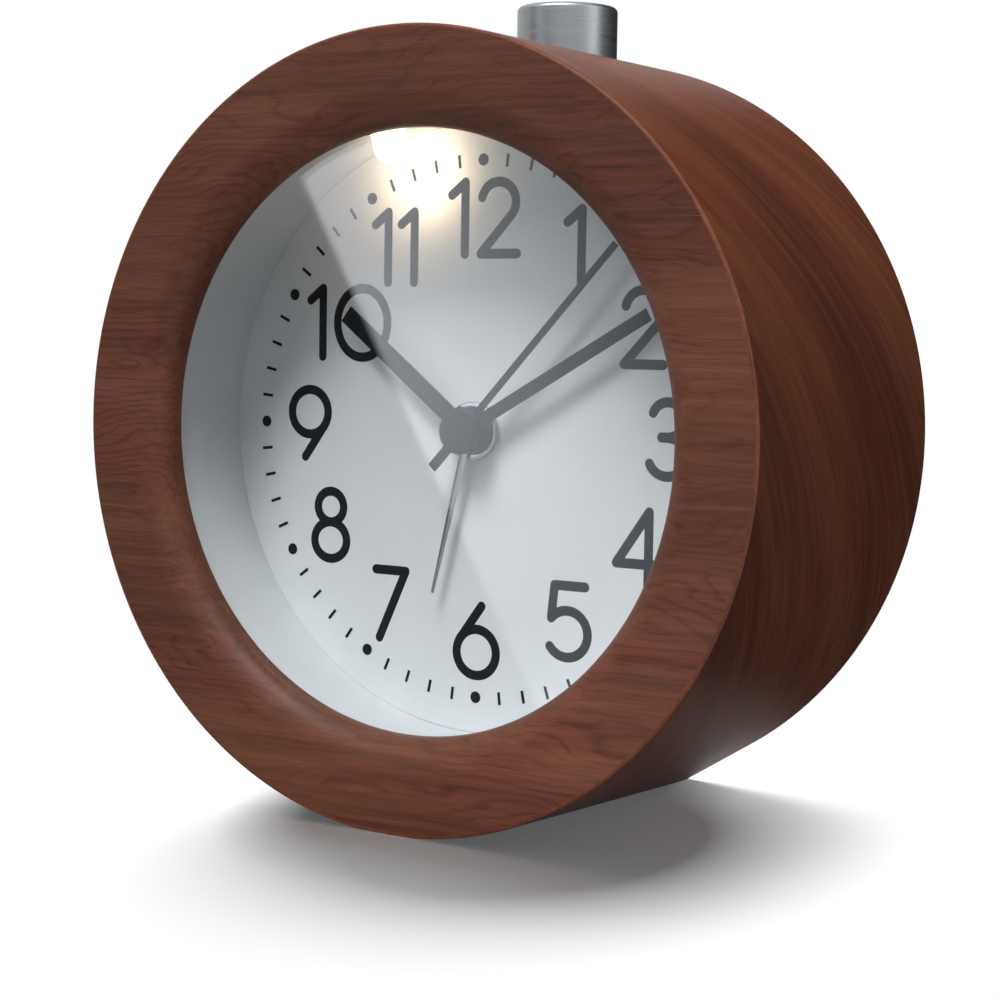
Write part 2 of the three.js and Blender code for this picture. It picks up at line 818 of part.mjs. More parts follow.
function movementBack() {
  const half = housingHalf(housingBackInside, middlePlateFront + fitGap, housingBackInside + housingWall / 2);
  const pivots = [
    [centre, secondArborRadius], [third, arborRadius], [intermediate, arborRadius],
    [rotor, arborRadius], [timeSet, setArborRadius], [alarmSet, setArborRadius],
  ];
  return cut(half, ...pivots.map(([place, radius]) => (
    at(rod(radius + runGap, housingBackInside - overrun, housingBack + overrun, holeSides), place))));
}

function platePosts() {
  const side = housingHalfWidth - housingWall - postRadius * 2;
  const low = -housingDown + housingWall + postRadius * 2;
  return [{ x: -side, z: low }, { x: side, z: low }, { x: -side, z: plateTop - postRadius * 2 },
    { x: plateNotchSide - postRadius * 2, z: plateTop - postRadius * 2 }];
}

function middlePlate() {
  const side = housingHalfWidth - housingWall - fitGap;
  const low = -housingDown + housingWall + fitGap;
  const slant = housingCorner;
  const corners = [
    [-side + slant, low], [side - slant, low], [side, low + slant], [side, plateNotchHeight],
    [plateNotchSide, plateNotchHeight], [plateNotchSide, plateTop], [-side, plateTop], [-side, low + slant],
  ];
  const shape = new THREE.Shape(corners.map(([x, z]) => new THREE.Vector2(x, z)));
  circleHole(shape, centre, secondArborRadius + runGap);
  circleHole(shape, third, centreModule * (pinionTeeth / 2 + addendumShare) + runGap);
  [intermediate, rotor].forEach((place) => circleHole(shape, place, arborRadius + runGap));
  [timeSet, alarmSet].forEach((place) => circleHole(shape, place, setArborRadius + runGap));
  return slab(shape, middlePlateFront, middlePlateBack);
}

function stator() {
  const back = statorFront + statorThickness;
  const eyeRadius = magnetRadius + fitGap;
  const frame = rectangle(rotor.x - coilCoreWidth / 2, coilSide + coilCoreWidth / 2,
    coilBottom - coilCoreWidth, coilBottom + coilLength + coilCoreWidth);
  frame.holes.push(rectangle(rotor.x + coilCoreWidth / 2, coilSide - coilCoreWidth / 2,
    coilBottom, coilBottom + coilLength));
  const eye = at(rod(eyeRadius + statorRim, statorFront, back), rotor);
  const opening = at(rod(eyeRadius, statorFront - overrun, back + overrun), rotor);
  return cut(join(slab(frame, statorFront, back), eye), opening);
}

function coil() {
  const middle = statorFront + statorThickness / 2;
  const winding = upright(rod(coilRadius, coilBottom + fitGap, coilBottom + coilLength - fitGap));
  winding.translate(coilSide, middle, 0);
  const half = coilCoreWidth / 2 + fitGap;
  const core = box(coilSide - half, coilSide + half, statorFront - fitGap, statorFront + statorThickness + fitGap,
    coilBottom - overrun, coilBottom + coilLength + overrun);
  return cut(winding, core);
}

// Rear cover and what it carries
function rearCover() {
  const plate = rod(coverRadius, coverFront, coverBack, caseSides);
  const tray = box(trayLeft - trayWall, trayRight + trayWall, trayFloor - trayWall, doorFront - fitGap,
    trayBottom - trayWall, trayTop + trayWall);
  const posts = [-boardPostSide, boardPostSide].map((x) => (
    at(rod(postRadius, boardBack + fitGap, coverFront + overrun, holeSides), { x, z: boardBottom + boardHeight / 2 })));
  const well = box(trayLeft, trayRight, trayFloor, coverBack + overrun, trayBottom, trayTop);
  const window = box(trayLeft - doorLedge, trayRight + doorLedge, doorFront - fitGap, coverBack + overrun,
    trayBottom - doorLedge, trayTop + doorLedge);
  const slotHalf = (sliderTravel + sliderLength) / 2 + runGap;
  const slot = box(sliderSide - slotHalf, sliderSide + slotHalf, coverFront - overrun, coverBack + overrun,
    sliderHeight - sliderWidth / 2 - runGap, sliderHeight + sliderWidth / 2 + runGap);
  const through = (place, radius) => at(rod(radius, coverFront - overrun, coverBack + overrun), place);
  return cut(
    join(plate, tray, ...posts),
    well,
    window,
    slot,
    through(timeSet, setArborRadius + fitGap),
    through(alarmSet, setArborRadius + fitGap),
    ...screwPlaces().map((place) => through(place, screwShankRadius + runGap)),
    ...soundPlaces().map((place) => (
      at(rod(soundHoleRadius, coverFront - overrun, coverBack + overrun, holeSides), place))),
  );
}

function soundPlaces() {
  const middle = { x: buzzerSide, z: buzzerHeight };
  const round = Array.from({ length: soundHoleCount }, (_, i) => (
    along(middle, i * 360 / soundHoleCount, soundRingRadius)));
  return [middle, ...round];
}

function batteryDoor() {
  const reach = doorLedge - fitGap;
  const plate = box(trayLeft - reach, trayRight + reach, doorFront, doorBack, trayBottom - reach, trayTop + reach);
  const middle = (trayLeft + trayRight) / 2;
  const grooves = Array.from({ length: doorGrooves }, (_, i) => {
    const height = trayTop - doorGripHeight * (i + 1);
    return box(middle - doorGripWidth / 2, middle + doorGripWidth / 2, doorBack - doorGripDepth, doorBack + overrun,
      height - doorGripHeight / 2, height);
  });
  return cut(plate, ...grooves);
}

function coverScrew() {
  return turned([[0, rebateFront - screwLength + fitGap], [screwShankRadius, rebateFront - screwLength + fitGap],
    [screwShankRadius, coverBack + fitGap / 2], [screwHeadRadius, coverBack + fitGap / 2],
    [screwHeadRadius, coverBack + screwHeadThickness * screwCrownShare],
    [screwHeadRadius * screwCrownShare, coverBack + screwHeadThickness],
    [0, coverBack + screwHeadThickness]], pipeSides / 2);
}

function battery() {
  const shoulder = cellRadius - cellEase;
  const can = turned([[0, cellLeft], [shoulder, cellLeft], [cellRadius, cellLeft + cellEase],
    [cellRadius, cellRight - cellEase], [shoulder, cellRight], [nubRadius, cellRight],
    [nubRadius, cellRight + nubLength], [0, cellRight + nubLength]], pipeSides);
  return can.rotateZ(-Math.PI / 2).translate(0, cellDepth, cellHeight);
}

function contactPlate() {
  const half = contactWidth / 2;
  return box(trayRight - contactThickness - fitGap / 2, trayRight - fitGap / 2, cellDepth - half, cellDepth + half,
    cellHeight - half, cellHeight + half);
}

function contactSpring() {
  const from = trayLeft + fitGap + contactWire;
  const to = cellLeft - fitGap - contactWire;
  const wire = coilWire((share) => contactWidth / 2 * (1 - share * springTaperShare), from, to, contactTurns, contactWire);
  return wire.rotateY(Math.PI / 2).translate(0, cellDepth, cellHeight);
}

function knob(place) {
  const points = [];
  const steps = knobFlutes * flutePoints;
  for (let i = 0; i < steps; i += 1) {
    const angle = i / steps * Math.PI * 2;
    const radius = knobRadius - knobFluteDepth * (1 - Math.cos(angle * knobFlutes)) / 2;
    points.push(new THREE.Vector2(radius * Math.cos(angle), radius * Math.sin(angle)));
  }
  const front = coverBack + fitGap;
  const body = slab(new THREE.Shape(points), front, front + knobThickness);
  const boss = rod(knobRadius * knobBossShare, front + knobThickness - overrun, front + knobThickness + knobBoss);
  return cut(join(body, boss), rod(setArborRadius + runGap, front - overrun, knobFloor + fitGap));
}

function slideSwitch() {
  const back = coverFront - fitGap;
  const half = (sliderTravel + sliderLength) / 2 + runGap;
  const high = sliderWidth / 2 + runGap;
  const body = box(sliderSide - half - slideSwitchWall, sliderSide + half + slideSwitchWall,
    back - slideSwitchDepth, back, sliderHeight - high - slideSwitchWall, sliderHeight + high + slideSwitchWall);
  return cut(body, box(sliderSide - half, sliderSide + half, back - slideSwitchDepth / 2, back + overrun,
    sliderHeight - high, sliderHeight + high));
}

function slider() {
  const left = sliderSide - (sliderTravel + sliderLength) / 2;
  const front = coverFront - slideSwitchDepth / 2;
  return box(left, left + sliderLength, front, coverBack + sliderProud,
    sliderHeight - sliderWidth / 2, sliderHeight + sliderWidth / 2);
}

function buzzer() {
  const back = coverFront - fitGap;
  const front = back - buzzerThickness;
  const lid = buzzerThickness * buzzerLidShare;
  return turned([[0, front], [buzzerRadius, front], [buzzerRadius, back], [soundHoleRadius, back],
    [soundHoleRadius, back - lid], [0, back - lid]], pipeSides);
}

function circuitBoard() {
  const plate = box(-boardHalfWidth, boardHalfWidth, boardFront, boardBack, boardBottom, boardTop);
  const blob = rod(chipRadius, boardBack - boardThickness / 2, boardBack + chipHeight);
  return join(plate, at(blob, { x: boardPostSide / 2, z: boardBottom + boardHeight / 2 }));
}

function pushSwitch() {
  const half = pushSwitchWidth / 2;
  const body = box(-half, half, pushSwitchFront, pushSwitchFront + pushSwitchDepth, boardTop - pushSwitchHeight, boardTop);
  const nub = upright(rod(pushNubRadius, boardTop - pushSwitchHeight / 2, boardTop + pushNubHeight));
  return join(body, nub.translate(0, buttonDepth, 0));
}

function crystal() {
  const bottom = boardBottom + crystalRadius;
  const can = upright(rod(crystalRadius, bottom, bottom + crystalLength, holeSides));
  return can.translate(-boardPostSide / 2, boardBack + fitGap + crystalRadius, 0);
}

// Top button
const buttonCeiling = buttonTop - buttonRoof;
const headTop = buttonCeiling - fitGap;
const headBottom = headTop - plungerHead;
const flangeBottom = counterboreFloor + fitGap;
const flangeTop = flangeBottom + bushFlange;
const clipTop = bushBottom - fitGap;
const clipBottom = clipTop - clipThickness;

function topButton() {
  const inner = buttonRadius - buttonWall;
  const edge = [];
  for (let step = 0; step <= domeSteps; step += 1) {
    const angle = step / domeSteps * Math.PI / 2;
    edge.push([buttonRadius - buttonEase * (1 - Math.cos(angle)), buttonTop - buttonEase * (1 - Math.sin(angle))]);
  }
  return upright(turned([[inner, buttonSkirt], [buttonRadius, buttonSkirt], ...edge, [0, buttonTop],
    [0, buttonCeiling], [inner, buttonCeiling]], pipeSides * 2));
}

function plunger() {
  const head = buttonRadius - buttonWall - runGap;
  const groove = plungerRadius - clipBite;
  return upright(turned([[0, plungerBottom], [plungerRadius, plungerBottom], [plungerRadius, clipBottom - runGap],
    [groove, clipBottom - runGap], [groove, clipTop + runGap], [plungerRadius, clipTop + runGap],
    [plungerRadius, headBottom], [head, headBottom], [head, headTop], [0, headTop]], pipeSides));
}

function bush() {
  const bore = bushRadius - bushWall;
  return upright(turned([[bore, bushBottom], [bushRadius, bushBottom], [bushRadius, flangeBottom],
    [bushRadius + bushFlange, flangeBottom], [bushRadius + bushFlange, flangeTop], [bore, flangeTop]], pipeSides));
}

function clip() {
  const inner = plungerRadius - clipBite + runGap;
  const outer = inner + clipWidth;
  const shape = new THREE.Shape();
  shape.absarc(0, 0, outer, clipMouth, Math.PI * 2 - clipMouth);
  shape.absarc(0, 0, inner, Math.PI * 2 - clipMouth, clipMouth, true);
  return upright(slab(shape, clipBottom, clipTop, pipeSides / 2));
}

function buttonSpring() {
  const radius = (plungerRadius + buttonRadius - buttonWall) / 2;
  const from = flangeTop + fitGap + buttonWire;
  const to = headBottom - fitGap - buttonWire;
  return coilWire(() => radius, from, to, buttonTurns, buttonWire);
}

function overButton(geometry) {
  return geometry.translate(0, buttonDepth, 0);
}

// Put the pieces together, from the case inwards
add('wood_case', woodCase(), wood);
add('lens', lens(), clear);
add('dial_drum', drum(), whitePlastic);
add('dial', ring(neckRadius + fitGap, dialRadius, 0, dialThickness), dialWhite);
add('lamp', lamp(), lampWhite);
add('shaft_nut', ring(nutBore, nutRadius, -fitGap - nutThickness, -fitGap, pipeSides), brightSteel);
add('alarm_hand', hand(alarmOutline(), alarmHubRadius, alarmHandBack, alarmPipeRadius + runGap),
  brightSteel, centre, alarmAngle);
add('hour_hand', hand(bar(hourWidth, hourLength), hubRadius, hourHandBack, hourPipeRadius + runGap),
  handBlack, centre, hourAngle);
add('minute_hand', hand(bar(minuteWidth, minuteLength), hubRadius, minuteHandBack, minutePipeRadius + runGap),
  handBlack, centre, minuteAngle);
add('second_hand', secondHand(), handBlack, centre, secondAngle);

add('movement_front', movementFront(), blackPlastic);
add('movement_back', movementBack(), blackPlastic);
add('middle_plate', middlePlate(), whitePlastic);
add('second_wheel', secondWheel(), gearWhite);
add('third_wheel', thirdWheel(), gearWhite, third);
add('centre_wheel', centreWheel(), gearWhite);
add('intermediate_wheel', intermediateWheel(), gearWhite, intermediate);
add('rotor', rotorWheel(), gearWhite, rotor);
add('cannon_pinion', cannonPinion(), brass);
add('motion_wheel', motionWheel(), gearWhite, motion);
add('hour_wheel', pipeWheel(hourTeeth, hourModule, hourPhase, hourLayer, hourHandBack - handThickness,
  hourPipeRadius, hourPipeBore), gearWhite);
add('alarm_wheel', pipeWheel(alarmTeeth, alarmModule, 0, alarmLayer, alarmHandBack - handThickness,
  alarmPipeRadius, alarmPipeBore), gearWhite);
add('stator', stator(), brightSteel);
add('coil', coil(), copper);
add('time_set_arbor', setArbor(setTeeth, cannonModule, motionLayer, setPhase), gearWhite, timeSet);
add('alarm_set_arbor', setArbor(alarmSetTeeth, alarmModule, alarmLayer, alarmSetPhase), gearWhite, alarmSet);
add('time_set_knob', knob(), blackPlastic, timeSet);
add('alarm_set_knob', knob(), blackPlastic, alarmSet);

add('rear_cover', rearCover(), blackPlastic);
add('battery_door', batteryDoor(), blackPlastic);
add('battery', battery(), brass);
add('contact_plate', contactPlate(), brightSteel);
add('contact_spring', contactSpring(), brightSteel);
add('slide_switch', slideSwitch(), brightSteel);
add('alarm_slider', slider(), whitePlastic);
add('buzzer', buzzer(), blackPlastic, { x: buzzerSide, z: buzzerHeight });
screwPlaces().forEach((place, i) => add(`cover_screw_${i + 1}`, coverScrew(), brightSteel, place));
add('circuit_board', circuitBoard(), boardGreen);
add('crystal_can', crystal(), brightSteel);
add('push_switch', pushSwitch(), blackPlastic);

add('snooze_button', overButton(topButton()), brushedAluminium);
add('button_plunger', overButton(plunger()), whitePlastic);
add('button_bush', overButton(bush()), blackPlastic);
add('button_clip', overButton(clip()), brightSteel);
add('button_spring', overButton(buttonSpring()), brightSteel);

// Lean the clock back on its foot and bring the middle of the foot to the origin
clock.rotation.x = -lean;
const footFront = new THREE.Vector3(0, frontPlane, footTrim - caseRadius);
footFront.applyAxisAngle(new THREE.Vector3(1, 0, 0), -lean);
const footLength = (rearPlane - frontPlane) / Math.cos(lean);
clock.position.set(0, -footFront.y - footLength / 2, -footFront.z);

export default clock;
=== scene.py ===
import math
import bpy
import bmesh
from mathutils import Matrix, Vector


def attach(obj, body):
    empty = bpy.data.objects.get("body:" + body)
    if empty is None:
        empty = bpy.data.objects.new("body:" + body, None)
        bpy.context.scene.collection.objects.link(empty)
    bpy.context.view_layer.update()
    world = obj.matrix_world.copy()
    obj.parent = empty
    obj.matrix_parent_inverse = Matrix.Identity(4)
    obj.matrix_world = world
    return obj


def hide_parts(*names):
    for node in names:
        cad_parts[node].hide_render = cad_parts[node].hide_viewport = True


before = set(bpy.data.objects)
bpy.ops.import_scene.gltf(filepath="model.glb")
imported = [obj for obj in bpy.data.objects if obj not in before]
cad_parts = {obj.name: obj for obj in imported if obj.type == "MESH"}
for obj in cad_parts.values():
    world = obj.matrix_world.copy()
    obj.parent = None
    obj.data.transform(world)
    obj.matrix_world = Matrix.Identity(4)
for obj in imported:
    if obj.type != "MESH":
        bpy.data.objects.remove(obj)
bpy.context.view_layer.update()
print("frame loaded")

# The clock's own axes, in millimetres from the dial's middle: X runs to the right, Y back along the dial's
# axis and Z up
stance = {"leanDegrees": 1.5, "dialForward": 4.081783, "dialUp": 54.231505}
lean = math.radians(stance["leanDegrees"])
dialMiddle = Matrix.Translation((0, -stance["dialForward"], stance["dialUp"]))
toFrame = Matrix.Scale(0.001, 4) @ dialMiddle @ Matrix.Rotation(-lean, 4, "X")
toFloor = toFrame.inverted() @ Vector((0, 0, 0))

photoView = {
    "place": (174.34, -263.12, 14.70),
    "right": (0.83855, 0.54459, 0.01601),
    "up": (-0.05574, 0.05653, 0.99684),
    "back": (0.54197, -0.83679, 0.07776),
    "lens": 79.43, "sensor": 36, "nearest": 0.01,
}


def linkedObject(name, data):
    made = bpy.data.objects.new(name, data)
    bpy.context.scene.collection.objects.link(made)
    return made


def makeCamera():
    cameraData = bpy.data.cameras.new("photoCamera")
    cameraData.lens = photoView["lens"]
    cameraData.sensor_width = photoView["sensor"]
    cameraData.clip_start = photoView["nearest"]
    camera = linkedObject("photoCamera", cameraData)
    turn = Matrix((photoView["right"], photoView["up"], photoView["back"])).transposed().to_4x4()
    place = Matrix.Translation(toFrame @ Vector(photoView["place"]))
    camera.matrix_world = place @ Matrix.Rotation(-lean, 4, "X") @ turn
    bpy.context.scene.camera = camera


makeCamera()
print("camera placed")


# Shader helpers. A socket is named by its label, or by i and its number
def tone(hexColour):
    # a written screen colour, as the linear values that a socket takes
    parts = [int(hexColour[i:i + 2], 16) / 255 for i in (0, 2, 4)]
    return [part / 12.92 if part <= 0.04045 else ((part + 0.055) / 1.055) ** 2.4 for part in parts] + [1]


def addNode(tree, kind, settings=None, **sockets):
    made = tree.nodes.new("ShaderNode" + kind)
    for name, value in (settings or {}).items():
        setattr(made, name, value)
    for name, value in sockets.items():
        numbered = name[0] == "i" and name[1:].isdigit()
        socket = made.inputs[int(name[1:]) if numbered else name.replace("_", " ")]
        if isinstance(value, bpy.types.NodeSocket):
            tree.links.new(value, socket)
        else:
            socket.default_value = value
    return made


def calc(tree, operation, first, second=0.0, third=0.0):
    return addNode(tree, "Math", {"operation": operation}, i0=first, i1=second, i2=third).outputs[0]


def times(tree, first, second):
    return calc(tree, "MULTIPLY", first, second)


def plus(tree, first, second):
    return calc(tree, "ADD", first, second)


def minus(tree, first, second):
    return calc(tree, "SUBTRACT", first, second)


def mixColour(tree, share, first, second, blend="MIX"):
    mixed = addNode(tree, "Mix", {"data_type": "RGBA", "blend_type": blend}, i0=share, i6=first, i7=second)
    return mixed.outputs[2]


def noise(tree, vector, scale, detail=3.0, roughness=0.55, distortion=0.0):
    return addNode(tree, "TexNoise", None, Vector=vector, Scale=scale, Detail=detail, Roughness=roughness,
                   Distortion=distortion).outputs[0]


def remap(tree, value, fromLow, fromHigh, toLow=0.0, toHigh=1.0):
    return addNode(tree, "MapRange", None, i0=value, i1=fromLow, i2=fromHigh, i3=toLow, i4=toHigh).outputs[0]


noiseSpan = (0.3, 0.7)   # nearly all of a noise lies between these


def fromNoise(tree, value, toLow=0.0, toHigh=1.0):
    return remap(tree, value, *noiseSpan, toLow, toHigh)


def apart(tree, vector):
    return addNode(tree, "SeparateXYZ", None, Vector=vector).outputs


def joined(tree, x, y, z=0.0):
    return addNode(tree, "CombineXYZ", None, X=x, Y=y, Z=z).outputs[0]


def lengthOf(tree, vector):
    return addNode(tree, "VectorMath", {"operation": "LENGTH"}, i0=vector).outputs["Value"]


def tinted(tree, colour, share):
    # the colour made darker or lighter by the share
    return addNode(tree, "VectorMath", {"operation": "SCALE"}, i0=colour, Scale=share).outputs[0]


def stretch(tree, vector, scale):
    return addNode(tree, "Mapping", {"vector_type": "POINT"}, Vector=vector, Scale=scale).outputs[0]


def newGroup(name, inputs, outputs):
    group = bpy.data.node_groups.new(name, "ShaderNodeTree")
    for kind, label, value in inputs:
        socket = group.interface.new_socket(label, in_out="INPUT", socket_type="NodeSocket" + kind)
        if value is not None:
            socket.default_value = value
    for kind, label in outputs:
        group.interface.new_socket(label, in_out="OUTPUT", socket_type="NodeSocket" + kind)
    return group, group.nodes.new("NodeGroupInput").outputs, group.nodes.new("NodeGroupOutput").inputs


def useGroup(tree, group, **sockets):
    return addNode(tree, "Group", {"node_tree": group}, **sockets).outputs


def newMaterial(name, **sockets):
    material = bpy.data.materials.new(name)
    material.use_nodes = True
    tree = material.node_tree
    shader = tree.nodes["Principled BSDF"]
    for label, value in sockets.items():
        shader.inputs[label.replace("_", " ")].default_value = value
    return material, tree, shader


def feed(tree, shader, **sockets):
    for label, output in sockets.items():
        tree.links.new(output, shader.inputs[label.replace("_", " ")])


def bump(tree, height, distance, strength=1.0):
    return addNode(tree, "Bump", None, Height=height, Distance=distance, Strength=strength).outputs[0]


def makeClockPlaces():
    # millimetres from the dial's middle, the angle round the dial's axis, and the distance from it
    group, _, put = newGroup("clockPlaces", [], [("Vector", "Place"), ("Float", "Angle"),
                                                 ("Float", "Radius")])
    where = addNode(group, "TexCoord").outputs["Object"]
    centred = addNode(group, "Mapping", {"vector_type": "TEXTURE"}, Vector=where,
                      Location=(0, -stance["dialForward"] / 1000, stance["dialUp"] / 1000),
                      Rotation=(-lean, 0, 0), Scale=(0.001,) * 3).outputs[0]
    parts = apart(group, centred)
    group.links.new(centred, put["Place"])
    group.links.new(calc(group, "ARCTAN2", parts[0], parts[2]), put["Angle"])
    across = joined(group, parts[0], parts[2])
    length = lengthOf(group, across)
    group.links.new(length, put["Radius"])
    return group


clockPlaces = makeClockPlaces()


# Each of the wood's noises has its scale along the grain, across it and into it in cycles for each
# millimetre, its detail and its roughness
grainLook = {
    "broad": ((0.012, 0.06, 0.06), 2.0, 0.5), "drift": ((0.03, 0.16, 0.16), 2.0, 0.5),
    "streak": ((0.022, 0.62, 0.62), 4.0, 0.62), "fine": ((0.08, 2.6, 2.6), 3.0, 0.6),
    "pores": ((0.3, 7.0, 7.0), 2.0, 0.5), "wavy": ((0.03, 0.09, 0.09), 2.5, 0.45),
    "streakBend": 0.3, "broadShare": 0.9, "streakShare": 0.35, "fineShare": 0.5, "fold": 0.5,
    "darkTo": 0.5, "lightTo": 1.05, "redFrom": 0.45, "redTo": 0.68, "redShare": 0.6,
    "waves": 13.0, "rings": 0.55, "ringStreak": 1.1, "line": 0.2, "lineFrom": 0.35, "lineTo": 0.62,
    "poreFrom": 0.6, "poreTo": 0.72, "poreShare": 0.16, "polish": (0.4, 0.5), "fineHeight": 0.5,
}


def makeWoodGrain():
    # X runs along the grain, Y across it and Z into the wood, in millimetres
    look = grainLook
    group, given, put = newGroup("woodGrain", [
        ("Vector", "Place", None), ("Color", "Dark", tone("4c2c22")), ("Color", "Middle", tone("653d2e")),
        ("Color", "Light", tone("7d5040")), ("Color", "Red", tone("66352f")), ("Float", "Figure", 0.5),
        ("Float", "Streaks", 0.5),
    ], [("Color", "Colour"), ("Float", "Roughness"), ("Float", "Height")])
    place = given["Place"]

    def grain(name, distortion=0.0):
        scale, detail, roughness = look[name]
        return noise(group, stretch(group, place, scale), 1.0, detail, roughness, distortion)

    def centred(value, share):
        return fromNoise(group, value, -share, share)

    broad = grain("broad")
    drift = grain("drift")
    streak = grain("streak", look["streakBend"])
    fine = grain("fine")
    pores = grain("pores")
    bands = plus(group, fromNoise(group, broad, 0.0, look["broadShare"]),
                 centred(streak, look["streakShare"]))
    darkened = mixColour(group, remap(group, bands, 0.0, look["darkTo"]), given["Dark"], given["Middle"])
    colour = mixColour(group, remap(group, bands, look["darkTo"], look["lightTo"]), darkened, given["Light"])
    redness = remap(group, drift, look["redFrom"], look["redTo"], 0.0, look["redShare"])
    colour = mixColour(group, redness, colour, given["Red"])
    wavy = grain("wavy")
    parts = apart(group, place)
    rings = plus(group, times(group, wavy, look["waves"]), times(group, parts[1], look["rings"]))
    rings = plus(group, rings, times(group, streak, look["ringStreak"]))
    line = remap(group, calc(group, "PINGPONG", rings, look["fold"]), 0.0, look["line"], 1.0, 0.0)
    lineShare = times(group, line, remap(group, drift, look["lineFrom"], look["lineTo"]))
    lineShare = times(group, lineShare, given["Figure"])
    fineShade = times(group, centred(fine, look["fineShare"]), given["Streaks"])
    poreShare = remap(group, pores, look["poreFrom"], look["poreTo"])
    shade = minus(group, plus(group, 1.0, fineShade), lineShare)
    shade = minus(group, shade, times(group, poreShare, look["poreShare"]))
    group.links.new(tinted(group, colour, shade), put["Colour"])
    group.links.new(fromNoise(group, fine, *look["polish"]), put["Roughness"])
    height = minus(group, times(group, fine, look["fineHeight"]), poreShare)
    group.links.new(height, put["Height"])
    return group


woodGrain = makeWoodGrain()


finishLook = {"cloud": 0.13, "roughSpread": 0.05, "scratches": (0.12, 9.0, 9.0), "scratchSpread": 0.08,
              "scratchBump": 0.000004}


def makeFineFinish():
    # a moulded or painted skin: faint mottling of its colour and gloss, and a fine tooth
    group, given, put = newGroup("fineFinish", [
        ("Vector", "Place", None), ("Color", "Base", tone("808080")), ("Float", "Mottle", 0.06),
        ("Float", "Roughness", 0.4), ("Float", "Tooth Size", 0.2),
    ], [("Color", "Colour"), ("Float", "Roughness"), ("Float", "Height")])
    place = given["Place"]
    cloud = noise(group, place, finishLook["cloud"], detail=3.0, roughness=0.6)
    size = calc(group, "DIVIDE", 1.0, given["Tooth Size"])
    tooth = noise(group, place, size, detail=2.0, roughness=0.5)
    low = minus(group, 1.0, given["Mottle"])
    shade = fromNoise(group, cloud, low, plus(group, 1.0, given["Mottle"]))
    group.links.new(tinted(group, given["Base"], shade), put["Colour"])
    change = finishLook["roughSpread"]
    spread = fromNoise(group, cloud, -change, change)
    speckle = fromNoise(group, tooth, -change, change)
    rough = plus(group, given["Roughness"], plus(group, spread, speckle))
    group.links.new(rough, put["Roughness"])
    group.links.new(tooth, put["Height"])
    return group


fineFinish = makeFineFinish()


def makeBrushed():
    # fine parallel scratches: X runs along them, Y and Z across them, in millimetres
    group, given, put = newGroup("brushedMetal", [
        ("Vector", "Place", None), ("Color", "Base", tone("9fa1a3")), ("Float", "Depth", 0.2),
        ("Float", "Roughness", 0.35),
    ], [("Color", "Colour"), ("Float", "Roughness"), ("Float", "Height")])
    lines = noise(group, stretch(group, given["Place"], finishLook["scratches"]), 1.0, detail=3.0,
                  roughness=0.7)
    share = fromNoise(group, lines)
    darker = mixColour(group, given["Depth"], given["Base"], tone("000000"))
    group.links.new(mixColour(group, share, darker, given["Base"]), put["Colour"])
    change = finishLook["scratchSpread"]
    group.links.new(plus(group, given["Roughness"], fromNoise(group, lines, -change, change)),
                    put["Roughness"])
    group.links.new(lines, put["Height"])
    return group


brushedMetal = makeBrushed()


def plasticMaterial(name, colour, roughness, tooth=0.25, depth=0.02, mottle=0.06, **sockets):
    material, tree, shader = newMaterial(name, **sockets)
    place = useGroup(tree, clockPlaces)["Place"]
    finish = useGroup(tree, fineFinish, Place=place, Base=tone(colour), Mottle=mottle, Roughness=roughness,
                      Tooth_Size=tooth)
    feed(tree, shader, Base_Color=finish["Colour"], Roughness=finish["Roughness"],
         Normal=bump(tree, finish["Height"], depth / 1000))
    return material


def metalMaterial(name, colour, roughness, scratch=0.12, along=(1, 1, 1)):
    material, tree, shader = newMaterial(name, Metallic=1.0)
    place = useGroup(tree, clockPlaces)["Place"]
    finish = useGroup(tree, brushedMetal, Place=stretch(tree, place, along), Base=tone(colour), Depth=scratch,
                      Roughness=roughness)
    feed(tree, shader, Base_Color=finish["Colour"], Roughness=finish["Roughness"],
         Normal=bump(tree, finish["Height"], finishLook["scratchBump"]))
    return material


# Mesh helpers, in the clock's own millimetres
meshCare = {"merge": 0.0005, "thinnest": 0.0001, "smooth": 32}
roundSides = {"large": 192, "button": 128, "plain": 96, "small": 64, "lamp": 48, "hole": 32}


def turned(outline, steps):
    # spins a closed outline of (radius, station) points round the dial's axis
    bm = bmesh.new()
    corners = [bm.verts.new((radius, station, 0)) for radius, station in outline]
    sides = [bm.edges.new(pair) for pair in zip(corners, corners[1:] + corners[:1])]
    bmesh.ops.spin(bm, geom=corners + sides, cent=(0, 0, 0), axis=(0, 1, 0), angle=math.tau, steps=steps,
                   use_merge=True)
    tidyFaces(bm)
    return bm


def tidyFaces(bm):
    bmesh.ops.remove_doubles(bm, verts=bm.verts, dist=meshCare["merge"])
    bmesh.ops.dissolve_degenerate(bm, edges=bm.edges, dist=meshCare["thinnest"])
    bmesh.ops.recalc_face_normals(bm, faces=bm.faces)


def block(low, high):
    bm = bmesh.new()
    size = Vector(high) - Vector(low)
    bmesh.ops.create_cube(bm, size=1)
    bmesh.ops.scale(bm, verts=bm.verts, vec=size)
    bmesh.ops.translate(bm, verts=bm.verts, vec=(Vector(high) + Vector(low)) / 2)
    return bm


def disc(radius, front, back, place=(0, 0), steps=roundSides["plain"]):
    # a round plate across the dial's axis
    bm = bmesh.new()
    turn = Matrix.Translation((place[0], (front + back) / 2, place[1])) @ Matrix.Rotation(math.pi / 2, 4, "X")
    bmesh.ops.create_cone(bm, cap_ends=True, segments=steps, radius1=radius, radius2=radius,
                          depth=back - front, matrix=turn)
    return bm


